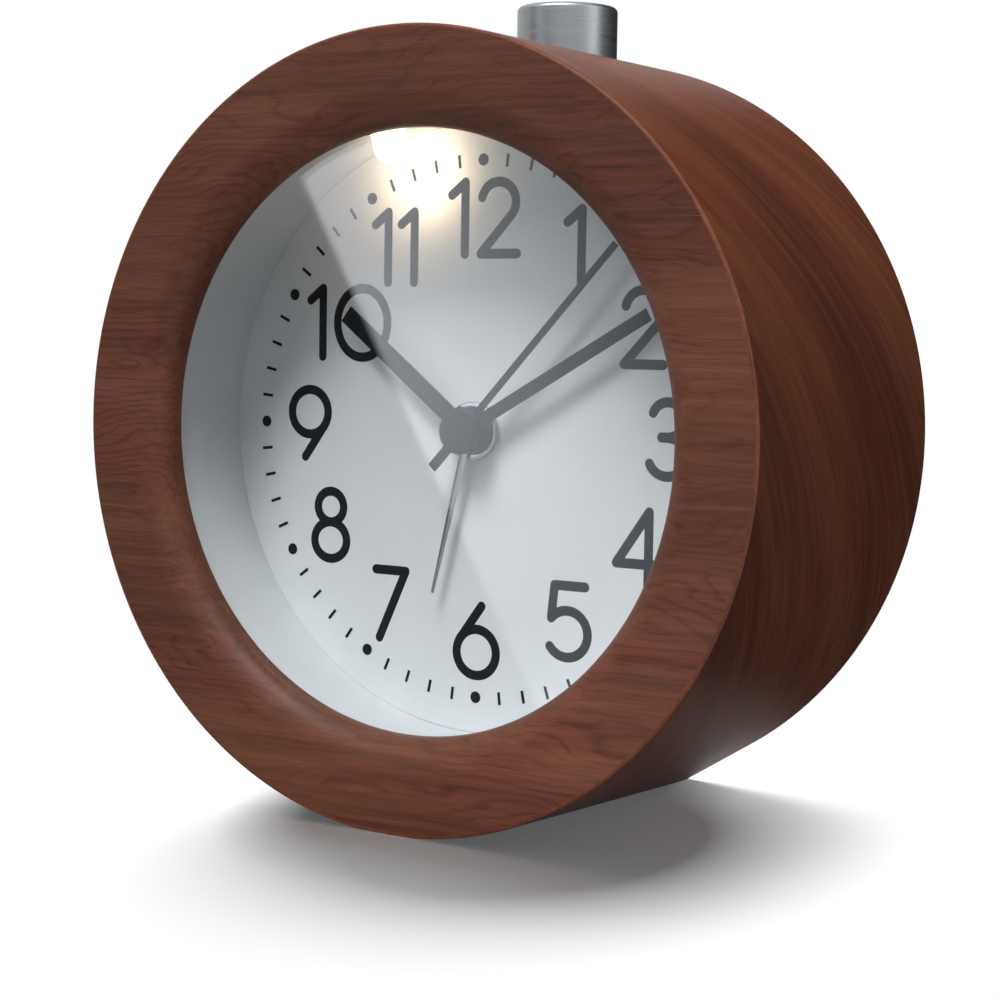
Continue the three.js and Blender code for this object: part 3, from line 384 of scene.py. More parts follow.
def soften(bm, width, segments=3, sharpest=30, where=None):
    # rounds the edges that are sharper than the given angle
    edges = [edge for edge in bm.edges if len(edge.link_faces) == 2
             and math.degrees(edge.calc_face_angle(0)) > sharpest and (where is None or where(edge))]
    bmesh.ops.bevel(bm, geom=edges, offset=width, offset_type="OFFSET", segments=segments, profile=0.5,
                    affect="EDGES", material=-1, clamp_overlap=True)
    return bm


def meshFrom(name, bm):
    mesh = bpy.data.meshes.new(name)
    bm.to_mesh(mesh)
    bm.free()
    return mesh


def addTo(bm, *others):
    for other in others:
        mesh = meshFrom("part", other)
        bm.from_mesh(mesh)
        bpy.data.meshes.remove(mesh)
    return bm


def shifted(bm, matrix):
    bmesh.ops.transform(bm, matrix=matrix, verts=bm.verts)
    return bm


def standing(depth):
    # stands a turned piece upright, this far behind the dial's face
    return Matrix.Translation((0, depth, 0)) @ Matrix.Rotation(math.pi / 2, 4, "X")


def newPiece(name, bm, materials, body, nodes=(), cutters=(), smooth=meshCare["smooth"]):
    piece = linkedObject(name, meshFrom(name, bm))
    if cutters:
        cutAway(piece, cutters)
    piece.data.transform(toFrame)
    for material in materials:
        piece.data.materials.append(material)
    piece.data.shade_smooth()
    piece.data.set_sharp_from_angle(angle=math.radians(smooth))
    piece.modifiers.new("flatFaces", "WEIGHTED_NORMAL").keep_sharp = True
    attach(piece, body)
    if nodes:
        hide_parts(*nodes)
    return piece


def cutAway(piece, cutters):
    # takes the cutters' space out of the piece, and leaves a plain mesh
    tools = []
    for index, (bm, operation) in enumerate(cutters):
        tool = linkedObject(f"cutter{index}", meshFrom(f"cutter{index}", bm))
        change = piece.modifiers.new(tool.name, "BOOLEAN")
        change.operation = operation
        change.solver = "EXACT"
        change.object = tool
        tools.append(tool)
    plain = bpy.data.meshes.new_from_object(piece.evaluated_get(bpy.context.evaluated_depsgraph_get()))
    piece.modifiers.clear()
    piece.data = plain
    plain.name = piece.name
    for tool in tools:
        bpy.data.objects.remove(tool)


# Wooden case
caseLook = {
    "radius": 55, "front": -21, "back": 32, "edge": 0.5, "opening": 41.6, "rollWidth": 5, "rollDepth": 3.9,
    "lipBack": -16.3, "cavity": 46.5, "rebate": 50, "rebateFront": 27, "footHalfWidth": 18, "sides": 192,
    "rollSteps": 12, "edgeSteps": 4, "cutDeeper": 5, "bushDeeper": 3,
    "button": {"depth": 22.5, "radius": 7.9, "floor": 50.7, "bushRadius": 4.9},
    "frontGrain": {"dark": "3c2116", "middle": "4b2b1e", "light": "583626", "red": "4e261e", "figure": 0.36,
                   "streaks": 0.34},
    "barrelGrain": {"dark": "49281c", "middle": "5d3423", "light": "683c27", "red": "56291f",
                    "figure": 0.14, "streaks": 0.42},
    # edgeTone and edgeShare paint the front rim paler: partly wear, partly a painted highlight
    "skew": 0.65, "frontGloss": 0.16, "barrelGloss": 0.08, "edgeTone": "856054", "edgeShare": 0.35,
    "wearAndSheenFrom": 0.68, "wearAndSheenTo": 0.59, "poreBump": 0.00004, "bumpStrength": 0.6,
}


def woodMaterial(name, grain, around):
    # round the barrel the grain runs askew, and straight across the front
    size = caseLook
    gloss = size["barrelGloss"] if around else size["frontGloss"]
    material, tree, shader = newMaterial(name, Specular_IOR_Level=gloss)
    places = useGroup(tree, clockPlaces)
    parts = apart(tree, places["Place"])
    if around:
        arc = times(tree, places["Angle"], size["radius"])
        skewed = minus(tree, parts[1], times(tree, arc, size["skew"]))
        place = joined(tree, arc, skewed, places["Radius"])
    else:
        place = joined(tree, parts[0], parts[2], parts[1])
    wood = useGroup(tree, woodGrain, Place=place, Dark=tone(grain["dark"]), Middle=tone(grain["middle"]),
                    Light=tone(grain["light"]), Red=tone(grain["red"]), Figure=grain["figure"],
                    Streaks=grain["streaks"])
    # the front edge is painted paler all round: partly rubbed wood, partly a painted highlight along the rim
    corner = minus(tree, places["Radius"], parts[1])
    reach = size["radius"] - size["front"]
    wearAndSheen = remap(tree, corner, reach - size["edge"] * size["wearAndSheenFrom"], reach - size["edge"] * size["wearAndSheenTo"])
    wearAndSheen = times(tree, wearAndSheen, size["edgeShare"])
    colour = mixColour(tree, wearAndSheen, wood["Colour"], tone(size["edgeTone"]))
    feed(tree, shader, Base_Color=colour, Roughness=wood["Roughness"],
         Normal=bump(tree, wood["Height"], size["poreBump"], size["bumpStrength"]))
    return material


def footedPoint(angle, inset, footShare):
    # a point of the case's outline: round in front, and spread into the flat foot at the back
    size = caseLook
    radius = size["radius"] - inset
    flat = Vector((radius * math.sin(angle), -radius * math.cos(angle)))
    low = -size["radius"] + (size["back"] - size["front"]) * math.tan(lean)
    corner = Vector((size["footHalfWidth"], low))
    flank = math.atan2(corner.x, -corner.y) + math.acos(size["radius"] / corner.length)
    if min(angle, math.tau - angle) >= flank:
        return flat
    foot = Vector((math.copysign(corner.x, math.sin(angle)), corner.y)) * (radius / size["radius"])
    return flat.lerp(foot, footShare)


def makeCase():
    size = caseLook
    bm = bmesh.new()
    around = bm.verts.layers.float.new("around")
    bmesh.ops.create_circle(bm, cap_ends=False, segments=size["sides"], radius=1)
    for corner in bm.verts:
        corner[around] = (math.atan2(corner.co.x, corner.co.y) + math.pi / size["sides"]) % math.tau
    loop = list(bm.edges)

    def lay(corners, inset, station, footShare):
        for corner in corners:
            point = footedPoint(corner[around], inset, footShare)
            corner.co = (point.x, station, point.y)

    def grow(edges, radius, station, footShare=0.0):
        made = bmesh.ops.extrude_edge_only(bm, edges=edges)["geom"]
        corners = {part for part in made if isinstance(part, bmesh.types.BMVert)}
        lay(corners, size["radius"] - radius, station, footShare)
        return [part for part in made if isinstance(part, bmesh.types.BMEdge) and set(part.verts) <= corners]

    lay(bm.verts, size["radius"] - size["rebate"], size["back"], 0.0)
    quarter = [step / size["edgeSteps"] * math.pi / 2 for step in range(size["edgeSteps"] + 1)]
    for angle in quarter:
        inset = size["edge"] * (1 - math.sin(angle))
        loop = grow(loop, size["radius"] - inset, size["back"] - size["edge"] * (1 - math.cos(angle)), 1.0)
    for angle in reversed(quarter):
        inset = size["edge"] * (1 - math.sin(angle))
        loop = grow(loop, size["radius"] - inset, size["front"] + size["edge"] * (1 - math.cos(angle)))
    for step in range(size["rollSteps"] + 1):
        angle = step / size["rollSteps"] * math.pi / 2
        radius = size["opening"] + size["rollWidth"] * (1 - math.sin(angle))
        loop = grow(loop, radius, size["front"] + size["rollDepth"] * (1 - math.cos(angle)))
    for radius, station in ((size["opening"], size["lipBack"]), (size["cavity"], size["lipBack"]),
                            (size["cavity"], size["rebateFront"]), (size["rebate"], size["rebateFront"]),
                            (size["rebate"], size["back"])):
        loop = grow(loop, radius, station)
    tidyFaces(bm)
    everything = list(bm.verts) + list(bm.edges) + list(bm.faces)
    floorUp = Vector((0, -math.sin(lean), math.cos(lean)))
    flat = bmesh.ops.bisect_plane(bm, geom=everything, dist=meshCare["thinnest"], plane_co=toFloor,
                                  plane_no=floorUp, clear_inner=True)
    rim = [part for part in flat["geom_cut"] if isinstance(part, bmesh.types.BMEdge)]
    bmesh.ops.holes_fill(bm, edges=rim, sides=0)
    tidyFaces(bm)
    for face in bm.faces:
        middle = face.calc_center_median()
        reach = math.hypot(middle.x, middle.z)
        inFront = middle.y < size["lipBack"] and reach < size["radius"] - size["edge"]
        face.material_index = 0 if inFront else 1
    hole = size["button"]
    turn = standing(hole["depth"])
    counterbore = shifted(disc(hole["radius"], hole["floor"], size["radius"] + size["cutDeeper"]), turn)
    bushHole = shifted(disc(hole["bushRadius"], size["cavity"] - size["bushDeeper"], size["radius"]), turn)
    materials = [woodMaterial("frontWood", size["frontGrain"], False),
                 woodMaterial("barrelWood", size["barrelGrain"], True)]
    return newPiece("turned_case", bm, materials, "case", ["wood_case"],
                    cutters=[(counterbore, "DIFFERENCE"), (bushHole, "DIFFERENCE")])


turnedCase = makeCase()
print("case turned")


# Lens
lensLook = {"radius": 46.2, "front": -16.0, "back": -14.4, "edge": 0.3, "roughness": 0.0, "ior": 1.47,
            "tints": ("fdfefe", "f8fafa"), "clear": "f6f7f7", "ripple": 0.02, "smooth": 5}


def makeLens():
    size = lensLook
    bm = soften(disc(size["radius"], size["front"], size["back"], steps=roundSides["large"]), size["edge"],
                segments=2)
    material, tree, shader = newMaterial("clearLens", Roughness=size["roughness"], IOR=size["ior"],
                                         Transmission_Weight=1.0)
    place = useGroup(tree, clockPlaces)["Place"]
    ripple = noise(tree, place, size["ripple"], detail=1.0)
    feed(tree, shader, Base_Color=mixColour(tree, ripple, *map(tone, size["tints"])))
    # shadows and soft light pass straight through
    rays = addNode(tree, "LightPath").outputs
    passing = calc(tree, "MAXIMUM", rays["Is Shadow Ray"], rays["Is Diffuse Ray"])
    clear = addNode(tree, "BsdfTransparent", None, Color=tone(size["clear"])).outputs[0]
    mixed = addNode(tree, "MixShader", None, i0=passing, i1=shader.outputs[0], i2=clear).outputs[0]
    tree.links.new(mixed, tree.nodes["Material Output"].inputs["Surface"])
    newPiece("clear_lens_disc", bm, [material], "case", ["lens"], smooth=size["smooth"])


makeLens()

# White drum and the dial that it carries
drumLook = {
    "front": -14.1, "radius": 46.2, "cupFront": 43.0, "cupBack": 43.6, "webFront": 0.9, "webBack": 2.4,
    "wall": 1.8, "cupWall": 1.5, "flange": 1.5, "back": 27, "hole": 3.35, "colour": "c6cacd",
    "roughness": 0.16,
}
dialLook = {"radius": 43.55, "thickness": 0.6, "hole": 3.35, "colour": "dfe2e5", "roughness": 0.5,
            "edge": 0.08}
lampLook = {"radius": 2.5, "rim": 2.9, "tip": 38.51, "seat": 45.1, "base": 0.8, "depth": 8, "angle": -13.6,
            "play": 0.15, "boreFrom": 40, "boreTo": 47, "domeStep": 9, "domeSteps": 10,
            "resin": ("fff3d6", "fffbe9"), "glow": ("ffe9c0", "fff4d8"), "strength": 3.0, "ior": 1.5,
            "coat": 0.5, "swirl": 0.9, "roughness": (0.2, 0.35)}


def lampTurn(size):
    # from upright in the middle of the dial to the lamp's place in the drum wall
    return Matrix.Rotation(math.radians(size["angle"]), 4, "Y") @ Matrix.Translation((0, -size["depth"], 0))


def makeDrum():
    size = drumLook
    inner = size["radius"] - size["wall"]
    bm = turned([
        (size["cupFront"], size["front"]), (size["radius"], size["front"]),
        (size["radius"], size["front"] + size["flange"]),
        (size["cupFront"] + size["cupWall"], size["front"] + size["flange"]),
        (size["cupBack"] + size["cupWall"], size["webFront"]), (size["radius"], size["webFront"]),
        (size["radius"], size["back"]), (inner, size["back"]), (inner, size["webBack"]),
        (size["hole"], size["webBack"]), (size["hole"], size["webFront"]),
        (size["cupBack"], size["webFront"]),
    ], roundSides["large"])
    bore = shifted(disc(lampLook["radius"] + lampLook["play"], lampLook["boreFrom"], lampLook["boreTo"],
                        steps=roundSides["lamp"]), Matrix.Rotation(math.pi / 2, 4, "X"))
    shifted(bore, lampTurn(lampLook))
    material = plasticMaterial("drumPlastic", size["colour"], size["roughness"], tooth=0.8, depth=0.004,
                               mottle=0.03)
    newPiece("inner_drum", bm, [material], "case", ["dial_drum"],
             cutters=[(bore, "DIFFERENCE")])


def makeDial():
    size = dialLook
    bm = turned([(size["hole"], 0), (size["radius"], 0), (size["radius"], size["thickness"]),
                 (size["hole"], size["thickness"])], roundSides["large"])
    soften(bm, size["edge"], segments=2)
    material = plasticMaterial("dialPaint", size["colour"], size["roughness"], tooth=0.12, depth=0.002,
                               mottle=0.02)
    newPiece("dial_plate", bm, [material], "case", ["dial"])


makeDrum()
makeDial()
print("drum and dial made")

# Numbers and minute marks, printed on the dial
printLook = {
    "stroke": 0.7, "height": 5.05, "ring": 30.2, "proud": 0.03, "arcStep": 9, "colour": "16181b",
    "roughness": 0.55, "shift": 0.65, "widen": 1.01, "markRing": 38.4, "dashLength": 1.85, "dashWidth": 0.45,
    "dotRadius": 0.85, "dotSides": 24, "endShares": (0.0, 0.1, 0.3, 0.6, 1.0),
}


def arcPoints(x, z, acrossRadius, upRadius, start, end):
    # degrees run clockwise from straight up
    count = max(2, round(abs(end - start) / printLook["arcStep"]))
    angles = [math.radians(start + (end - start) * i / count) for i in range(count + 1)]
    return [(x + acrossRadius * math.sin(angle), z + upRadius * math.cos(angle)) for angle in angles]


def digitStrokes(digit):
    # centre lines of the round-ended strokes, in millimetres from the digit's middle, and whether they close
    top = printLook["height"]
    if digit == "0":
        return [(arcPoints(0, 0, 4.5, top, 0, 360)[:-1], True)]
    if digit == "1":
        return [([(0, -top), (0, top)], False), ([(0, top), (-2.3, top - 1.75)], False)]
    if digit == "2":
        bowl = arcPoints(0, top - 2.85, 2.85, 2.85, -76, 124)
        return [(bowl, False), ([bowl[-1], (-2.9, -top)], False), ([(-2.9, -top), (3.1, -top)], False)]
    if digit == "3":
        upper = arcPoints(0, top - 2.4, 2.45, 2.4, -68, 180)
        lower = arcPoints(0, -top + 2.65, 2.9, 2.65, 0, 248)
        return [(upper, False), (lower, False), ([(-0.9, top - 4.8), (0, top - 4.8)], False)]
    if digit == "4":
        return [([(1.5, -top), (1.5, top)], False), ([(1.5, top), (-3.5, -top + 2.9)], False),
                ([(-3.5, -top + 2.9), (3.5, -top + 2.9)], False)]
    if digit == "5":
        bowl = arcPoints(-0.1, -top + 3.3, 3.35, 3.3, -50, 235)
        return [([(2.7, top), (-2.2, top)], False), ([(-2.2, top), bowl[0]], False), (bowl, False)]
    if digit == "6":
        ring = arcPoints(0, -top + 3.35, 3.35, 3.35, -62, 298)
        return [(ring[:-1], True), ([ring[0], (0.8, top)], False)]
    if digit == "7":
        return [([(-2.65, top), (2.65, top)], False), ([(2.65, top), (-1.9, -top)], False)]
    if digit == "8":
        upper = arcPoints(0, top - 2.3, 2.35, 2.3, 0, 360)
        lower = arcPoints(0, -top + 2.75, 2.95, 2.75, 0, 360)
        return [(upper[:-1], True), (lower[:-1], True)]
    ring = arcPoints(0, top - 3.35, 3.35, 3.35, 118, 478)
    return [(ring[:-1], True), ([ring[0], (-0.8, -top)], False)]


def rounded(points):
    # adds points near both ends, where the stroke narrows to a half circle
    reach = printLook["stroke"]
    ends = []
    for here, there in ((points[0], points[1]), (points[-1], points[-2])):
        step = (Vector(there) - Vector(here)).normalized()
        ends.append([(Vector(here) + step * reach * (share - 1), math.sqrt(max(0.0, 1 - (1 - share) ** 2)))
                     for share in printLook["endShares"]])
    body = [(Vector(point), 1.0) for point in points[1:-1]]
    return ends[0] + body + ends[1][::-1]


def strokeMesh(strokes, shiftX, shiftZ):
    # sweeps each centre line with a round pen, then presses the result flat on the dial
    curve = bpy.data.curves.new("strokes", "CURVE")
    curve.dimensions = "3D"
    curve.bevel_depth = printLook["stroke"]
    curve.bevel_resolution = 2
    for points, closes in strokes:
        laid = [(Vector(point), 1.0) for point in points] if closes else rounded(points)
        spline = curve.splines.new("POLY")
        spline.points.add(len(laid) - 1)
        spline.use_cyclic_u = closes
        for corner, (point, width) in zip(spline.points, laid):
            corner.co = (point.x + shiftX, 0, point.y + shiftZ, 1)
            corner.radius = width
    holder = linkedObject("strokes", curve)
    mesh = bpy.data.meshes.new_from_object(holder.evaluated_get(bpy.context.evaluated_depsgraph_get()))
    bpy.data.objects.remove(holder)
    bm = bmesh.new()
    bm.from_mesh(mesh)
    bmesh.ops.scale(bm, verts=bm.verts, vec=(1, printLook["proud"] / printLook["stroke"], 1))
    tidyFaces(bm)
    return bm


def laidOut(bm):
    bmesh.ops.scale(bm, verts=bm.verts, vec=(printLook["widen"], 1, 1))
    bmesh.ops.translate(bm, verts=bm.verts, vec=(printLook["shift"], 0, 0))
    return bm


def makeNumerals():
    # each hour's digits, and how far each stands to the right of the hour's place
    words = {hour: ((str(hour), 0),) for hour in range(1, 10)}
    words.update({1: (("1", 1.15),), 10: (("1", -1.8), ("0", 5.4)), 11: (("1", -1.15), ("1", 3.45)),
                  12: (("1", -2.95), ("2", 2.65))})
    bm = bmesh.new()
    for hour, digits in words.items():
        angle = math.radians(hour * 30)
        x = printLook["ring"] * math.sin(angle)
        z = printLook["ring"] * math.cos(angle)
        for digit, side in digits:
            addTo(bm, strokeMesh(digitStrokes(digit), x + side, z))
    return laidOut(bm)


def makeMarks():
    bm = bmesh.new()
    ring, proud = printLook["markRing"], printLook["proud"]
    half = printLook["dashWidth"] / 2
    reach = printLook["dashLength"] / 2
    for minute in range(60):
        spin = Matrix.Rotation(math.tau * minute / 60, 4, "Y")
        if minute % 5 == 0:
            mark = disc(printLook["dotRadius"], -proud, proud, (0, ring), printLook["dotSides"])
        else:
            mark = block((-half, -proud, ring - reach), (half, proud, ring + reach))
        addTo(bm, shifted(mark, spin))
    return laidOut(bm)


dialInk = plasticMaterial("dialInk", printLook["colour"], printLook["roughness"], tooth=0.1, depth=0.0,
                          mottle=0.04, Specular_IOR_Level=0.12)
newPiece("numerals", makeNumerals(), [dialInk], "case")
newPiece("minute_marks", makeMarks(), [dialInk], "case")
print("dial printed")

# Hands, each in front of the last
handsLook = {
    "thickness": 0.25, "edge": 0.06, "hub": 3.2, "colour": "0f1112", "roughness": 0.4,
    "hour": {"length": 27, "width": 2.7, "angle": -52.5, "back": -2.35},
    "minute": {"length": 34, "width": 1.85, "angle": 60.3, "back": -2.9},
    "second": {"length": 36, "width": 1.05, "tail": 7.4, "tailWidth": 1.5, "angle": 43, "back": -3.45,
               "hubFront": -4.6, "cap": 1.2, "capFront": -4.9, "capEdge": 0.15},
    "alarm": {"length": 24.3, "root": 0.75, "tip": 0.25, "angle": 194, "back": -1.8, "hub": 2.9,
              "ridge": 0.34, "ridgeTaper": 0.5, "flank": 0.04},
}


def makeBladeHand(size):
    back = size["back"]
    front = back - handsLook["thickness"]
    half = size["width"] / 2
    bm = soften(block((-half, front, 0), (half, back, size["length"])), handsLook["edge"], segments=2)
    addTo(bm, soften(disc(handsLook["hub"], size.get("hubFront", front), back), handsLook["edge"],
                     segments=2))
    if "tail" in size:
        half = size["tailWidth"] / 2
        addTo(bm, soften(block((-half, front, -size["tail"]), (half, back, 0)), handsLook["edge"],
                         segments=2))
    if "cap" in size:
        addTo(bm, soften(disc(size["cap"], size["capFront"], front, steps=roundSides["small"]),
                         size["capEdge"], segments=3))
    return shifted(bm, Matrix.Rotation(math.radians(size["angle"]), 4, "Y"))


def makeAlarmHand():
    # a slim taper with a ridge along its middle
    size = handsLook["alarm"]
    bm = bmesh.new()
    bmesh.ops.create_cone(bm, cap_ends=True, segments=4, radius1=size["root"], radius2=size["tip"],
                          depth=size["length"])
    bmesh.ops.translate(bm, verts=bm.verts, vec=(0, 0, size["length"] / 2))
    for corner in bm.verts:
        onRidge = abs(corner.co.x) < abs(corner.co.y)
        share = corner.co.z / size["length"]
        if onRidge:
            front = size["back"] - size["ridge"] * (1 - share * size["ridgeTaper"])
            corner.co.y = size["back"] if corner.co.y > 0 else front
        else:
            corner.co.y = size["back"] - size["flank"]
    hub = soften(disc(size["hub"], size["back"] - handsLook["thickness"], size["back"]), handsLook["edge"],
                 segments=2)
    return shifted(addTo(bm, hub), Matrix.Rotation(math.radians(size["angle"]), 4, "Y"))


handPaint = plasticMaterial("handPaint", handsLook["colour"], handsLook["roughness"], tooth=0.1, depth=0.0,
                            mottle=0.05, Specular_IOR_Level=0.08)
handSteel = metalMaterial("handSteel", "8b9095", roughness=0.3, scratch=0.1)
brightSteel = metalMaterial("brightSteel", "c9cbcd", roughness=0.2, scratch=0.1)
newPiece("hour_blade", makeBladeHand(handsLook["hour"]), [handPaint], "hours", ["hour_hand"])
newPiece("minute_blade", makeBladeHand(handsLook["minute"]), [handPaint], "minutes",
         ["minute_hand"])
newPiece("second_blade", makeBladeHand(handsLook["second"]), [handPaint], "seconds",
         ["second_hand"])
newPiece("alarm_blade", makeAlarmHand(), [handSteel], "alarm", ["alarm_hand"])

nutLook = {"bore": 3.2, "radius": 4.15, "front": -1.4, "back": -0.3, "edge": 0.22}


def makeNut():
    size = nutLook
    bm = turned([(size["bore"], size["front"]), (size["radius"], size["front"]),
                 (size["radius"], size["back"]), (size["bore"], size["back"])], roundSides["plain"])
    return soften(bm, size["edge"], segments=3)


nutNickel = metalMaterial("nutNickel", "9aa0a3", roughness=0.16, scratch=0.06)
newPiece("neck_nut", makeNut(), [nutNickel], "case", ["shaft_nut"])
print("hands set")


# Lamp
def lampMaterial():
    size = lampLook
    material, tree, shader = newMaterial("lampResin", IOR=size["ior"], Emission_Strength=size["strength"],
                                         Coat_Weight=size["coat"])
    places = useGroup(tree, clockPlaces)
    swirl = noise(tree, places["Place"], size["swirl"], detail=2.0)
    feed(tree, shader, Base_Color=mixColour(tree, swirl, *map(tone, size["resin"])),
         Emission_Color=mixColour(tree, swirl, *map(tone, size["glow"])),
         Roughness=remap(tree, swirl, 0, 1, *size["roughness"]))
    return material


def makeLamp():
    size = lampLook
    dome = [(size["radius"] * math.sin(angle), size["tip"] + size["radius"] * (1 - math.cos(angle)))
            for angle in (math.radians(step * size["domeStep"]) for step in range(size["domeSteps"] + 1))]
    bm = turned(dome + [(size["radius"], size["seat"]), (size["rim"], size["seat"]),
                        (size["rim"], size["seat"] + size["base"]), (0, size["seat"] + size["base"])],
                roundSides["lamp"])
    shifted(bm, Matrix.Rotation(math.pi / 2, 4, "X"))
    return shifted(bm, lampTurn(size))


newPiece("lamp_dome", makeLamp(), [lampMaterial()], "case", ["lamp"])

# Button on top
buttonLook = {"radius": 7.5, "wall": 1.2, "top": 62.5, "roof": 1.6, "skirt": 52.5, "edge": 0.7,
              "depth": 22.5, "crownDeep": 0.1, "colour": "8f9295", "roughness": 0.34, "anisotropy": 0.5,
              "scratch": 0.14, "bump": 0.000008}


def makeButton():
    size = buttonLook
    inner = size["radius"] - size["wall"]
    bm = turned([(inner, size["skirt"]), (size["radius"], size["skirt"]), (size["radius"], size["top"]),
                 (0, size["top"]), (0, size["top"] - size["roof"]), (inner, size["top"] - size["roof"])],
                roundSides["button"])
    # only the top's edge is rounded
    crown = size["top"] - size["crownDeep"]
    soften(bm, size["edge"], segments=5, where=lambda edge: min(corner.co.y for corner in edge.verts) > crown)
    return shifted(bm, standing(size["depth"]))


def buttonMaterial():
    # lathe marks run round the button's own upright axis
    size = buttonLook
    material, tree, shader = newMaterial("buttonAluminium", Metallic=1.0, Anisotropic=size["anisotropy"])
    place = useGroup(tree, clockPlaces)["Place"]
    parts = apart(tree, place)
    deep = minus(tree, parts[1], size["depth"])
    angle = calc(tree, "ARCTAN2", parts[0], deep)
    reach = calc(tree, "SQRT", plus(tree, times(tree, parts[0], parts[0]), times(tree, deep, deep)))
    lathe = joined(tree, times(tree, angle, size["radius"]), parts[2], reach)
    finish = useGroup(tree, brushedMetal, Place=lathe, Base=tone(size["colour"]), Depth=size["scratch"],
                      Roughness=size["roughness"])
    feed(tree, shader, Base_Color=finish["Colour"], Roughness=finish["Roughness"],
         Normal=bump(tree, finish["Height"], size["bump"]))
    return material


newPiece("snooze_cap", makeButton(), [buttonMaterial()], "button", ["snooze_button"])
print("button and lamp made")

# Back of the clock
rearLook = {
    "radius": 49.7, "front": 27.3, "back": 29.3, "edge": 0.35, "colour": "202224", "roughness": 0.5,
    "tray": {"left": -28.25, "right": 26.25, "bottom": -31.3, "top": -16.5, "floor": 13.3, "wall": 1.2},
    "door": {"front": 28.1, "ledge": 0.7, "gap": 0.3, "gripWidth": 12, "gripStep": 2.2, "gripDepth": 0.5,
             "grooves": 3, "edge": 0.25},
    "slot": {"x": -24, "z": 14, "halfWide": 3.65, "halfHigh": 1.35},
    "sound": {"x": 23, "z": 14, "radius": 0.9, "ring": 4, "count": 6},
    "timeSet": (-15.830, -8.240), "alarmSet": (10.321, -7.227), "arborHole": 1.3,
    "boardPost": {"x": 11, "z": 31, "radius": 1.4, "front": 20.5}, "over": 1.0, "smooth": 28,
}


def makeRearCover():
    size = rearLook
    tray = size["tray"]
    door = size["door"]
    wall = tray["wall"]
    over = size["over"]   # how far each cutter reaches past the face that it cuts
    plate = soften(disc(size["radius"], size["front"], size["back"], steps=roundSides["large"]),
                   size["edge"], segments=3)
    slot = size["slot"]
    post = size["boardPost"]
    posts = []
    for x in (-post["x"], post["x"]):
        pillar = disc(post["radius"], post["front"], size["front"] + over, (x, post["z"]), roundSides["hole"])
        posts.append((pillar, "UNION"))
    sides = (tray["left"] - wall, tray["right"] + wall, tray["bottom"] - wall, tray["top"] + wall)
    shell = block((sides[0], tray["floor"] - wall, sides[2]),
                  (sides[1], door["front"] - door["gap"], sides[3]))
    well = block((tray["left"], tray["floor"], tray["bottom"]),
                 (tray["right"], size["back"] + over, tray["top"]))
    ledge = door["ledge"]
    window = block((tray["left"] - ledge, door["front"] - door["gap"], tray["bottom"] - ledge),
                   (tray["right"] + ledge, size["back"] + over, tray["top"] + ledge))
    slotHole = block((slot["x"] - slot["halfWide"], size["front"] - over, slot["z"] - slot["halfHigh"]),
                     (slot["x"] + slot["halfWide"], size["back"] + over, slot["z"] + slot["halfHigh"]))
    sound = size["sound"]
    places = [(sound["x"], sound["z"], sound["radius"])]
    for index in range(sound["count"]):
        angle = math.tau * index / sound["count"]
        x = sound["x"] + sound["ring"] * math.cos(angle)
        places.append((x, sound["z"] + sound["ring"] * math.sin(angle), sound["radius"]))
    places += [(*size["timeSet"], size["arborHole"]), (*size["alarmSet"], size["arborHole"])]
    holes = []
    for x, z, radius in places:
        hole = disc(radius, size["front"] - over, size["back"] + over, (x, z), roundSides["hole"])
        holes.append((hole, "DIFFERENCE"))
    cutters = [(shell, "UNION"), *posts, (well, "DIFFERENCE"), (window, "DIFFERENCE"),
               (slotHole, "DIFFERENCE"), *holes]
    newPiece("back_cover", plate, [backPlastic], "case", ["rear_cover"], cutters=cutters,
             smooth=size["smooth"])


def makeDoor():
    size = rearLook
    tray = size["tray"]
    door = size["door"]
    reach = door["ledge"] - door["gap"]
    bm = soften(block((tray["left"] - reach, door["front"], tray["bottom"] - reach),
                      (tray["right"] + reach, size["back"], tray["top"] + reach)), door["edge"], segments=3)
    middle = (tray["left"] + tray["right"]) / 2
    half = door["gripWidth"] / 2
    grooves = []
    for index in range(door["grooves"]):
        height = tray["top"] - door["gripStep"] * (index + 1)
        groove = block((middle - half, size["back"] - door["gripDepth"], height - door["gripStep"] / 2),
                       (middle + half, size["back"] + size["over"], height))
        grooves.append((groove, "DIFFERENCE"))
    newPiece("battery_lid", bm, [backPlastic], "door", ["battery_door"], cutters=grooves,
             smooth=size["smooth"])


knobLook = {"radius": 5.5, "flutes": 12, "fluteDepth": 0.45, "front": 29.6, "back": 33.0, "boss": 2.75,
            "bossBack": 33.4, "sides": 144, "edge": 0.4, "bore": 1.15, "boreFloor": 0.7, "bossRoot": 0.5,
            "bossEdge": 0.15, "sharpest": 50}


def makeKnob(name, place, body, node):
    size = knobLook
    bm = disc(size["radius"], size["front"], size["back"], steps=size["sides"])
    for corner in bm.verts:
        angle = math.atan2(corner.co.z, corner.co.x)
        share = 1 - size["fluteDepth"] * (1 - math.cos(angle * size["flutes"])) / 2 / size["radius"]
        corner.co.x *= share
        corner.co.z *= share
    soften(bm, size["edge"], segments=3, sharpest=size["sharpest"])
    boss = soften(disc(size["boss"], size["back"] - size["bossRoot"], size["bossBack"],
                       steps=roundSides["small"]),
                  size["bossEdge"], segments=3)
    bore = disc(size["bore"], size["front"] - rearLook["over"], size["back"] - size["boreFloor"],
                steps=roundSides["hole"])
    shift = Matrix.Translation((place[0], 0, place[1]))
    shifted(bm, shift)
    cutters = [(shifted(boss, shift), "UNION"), (shifted(bore, shift), "DIFFERENCE")]
    newPiece(name, bm, [knobPlastic], body, [node], cutters=cutters)


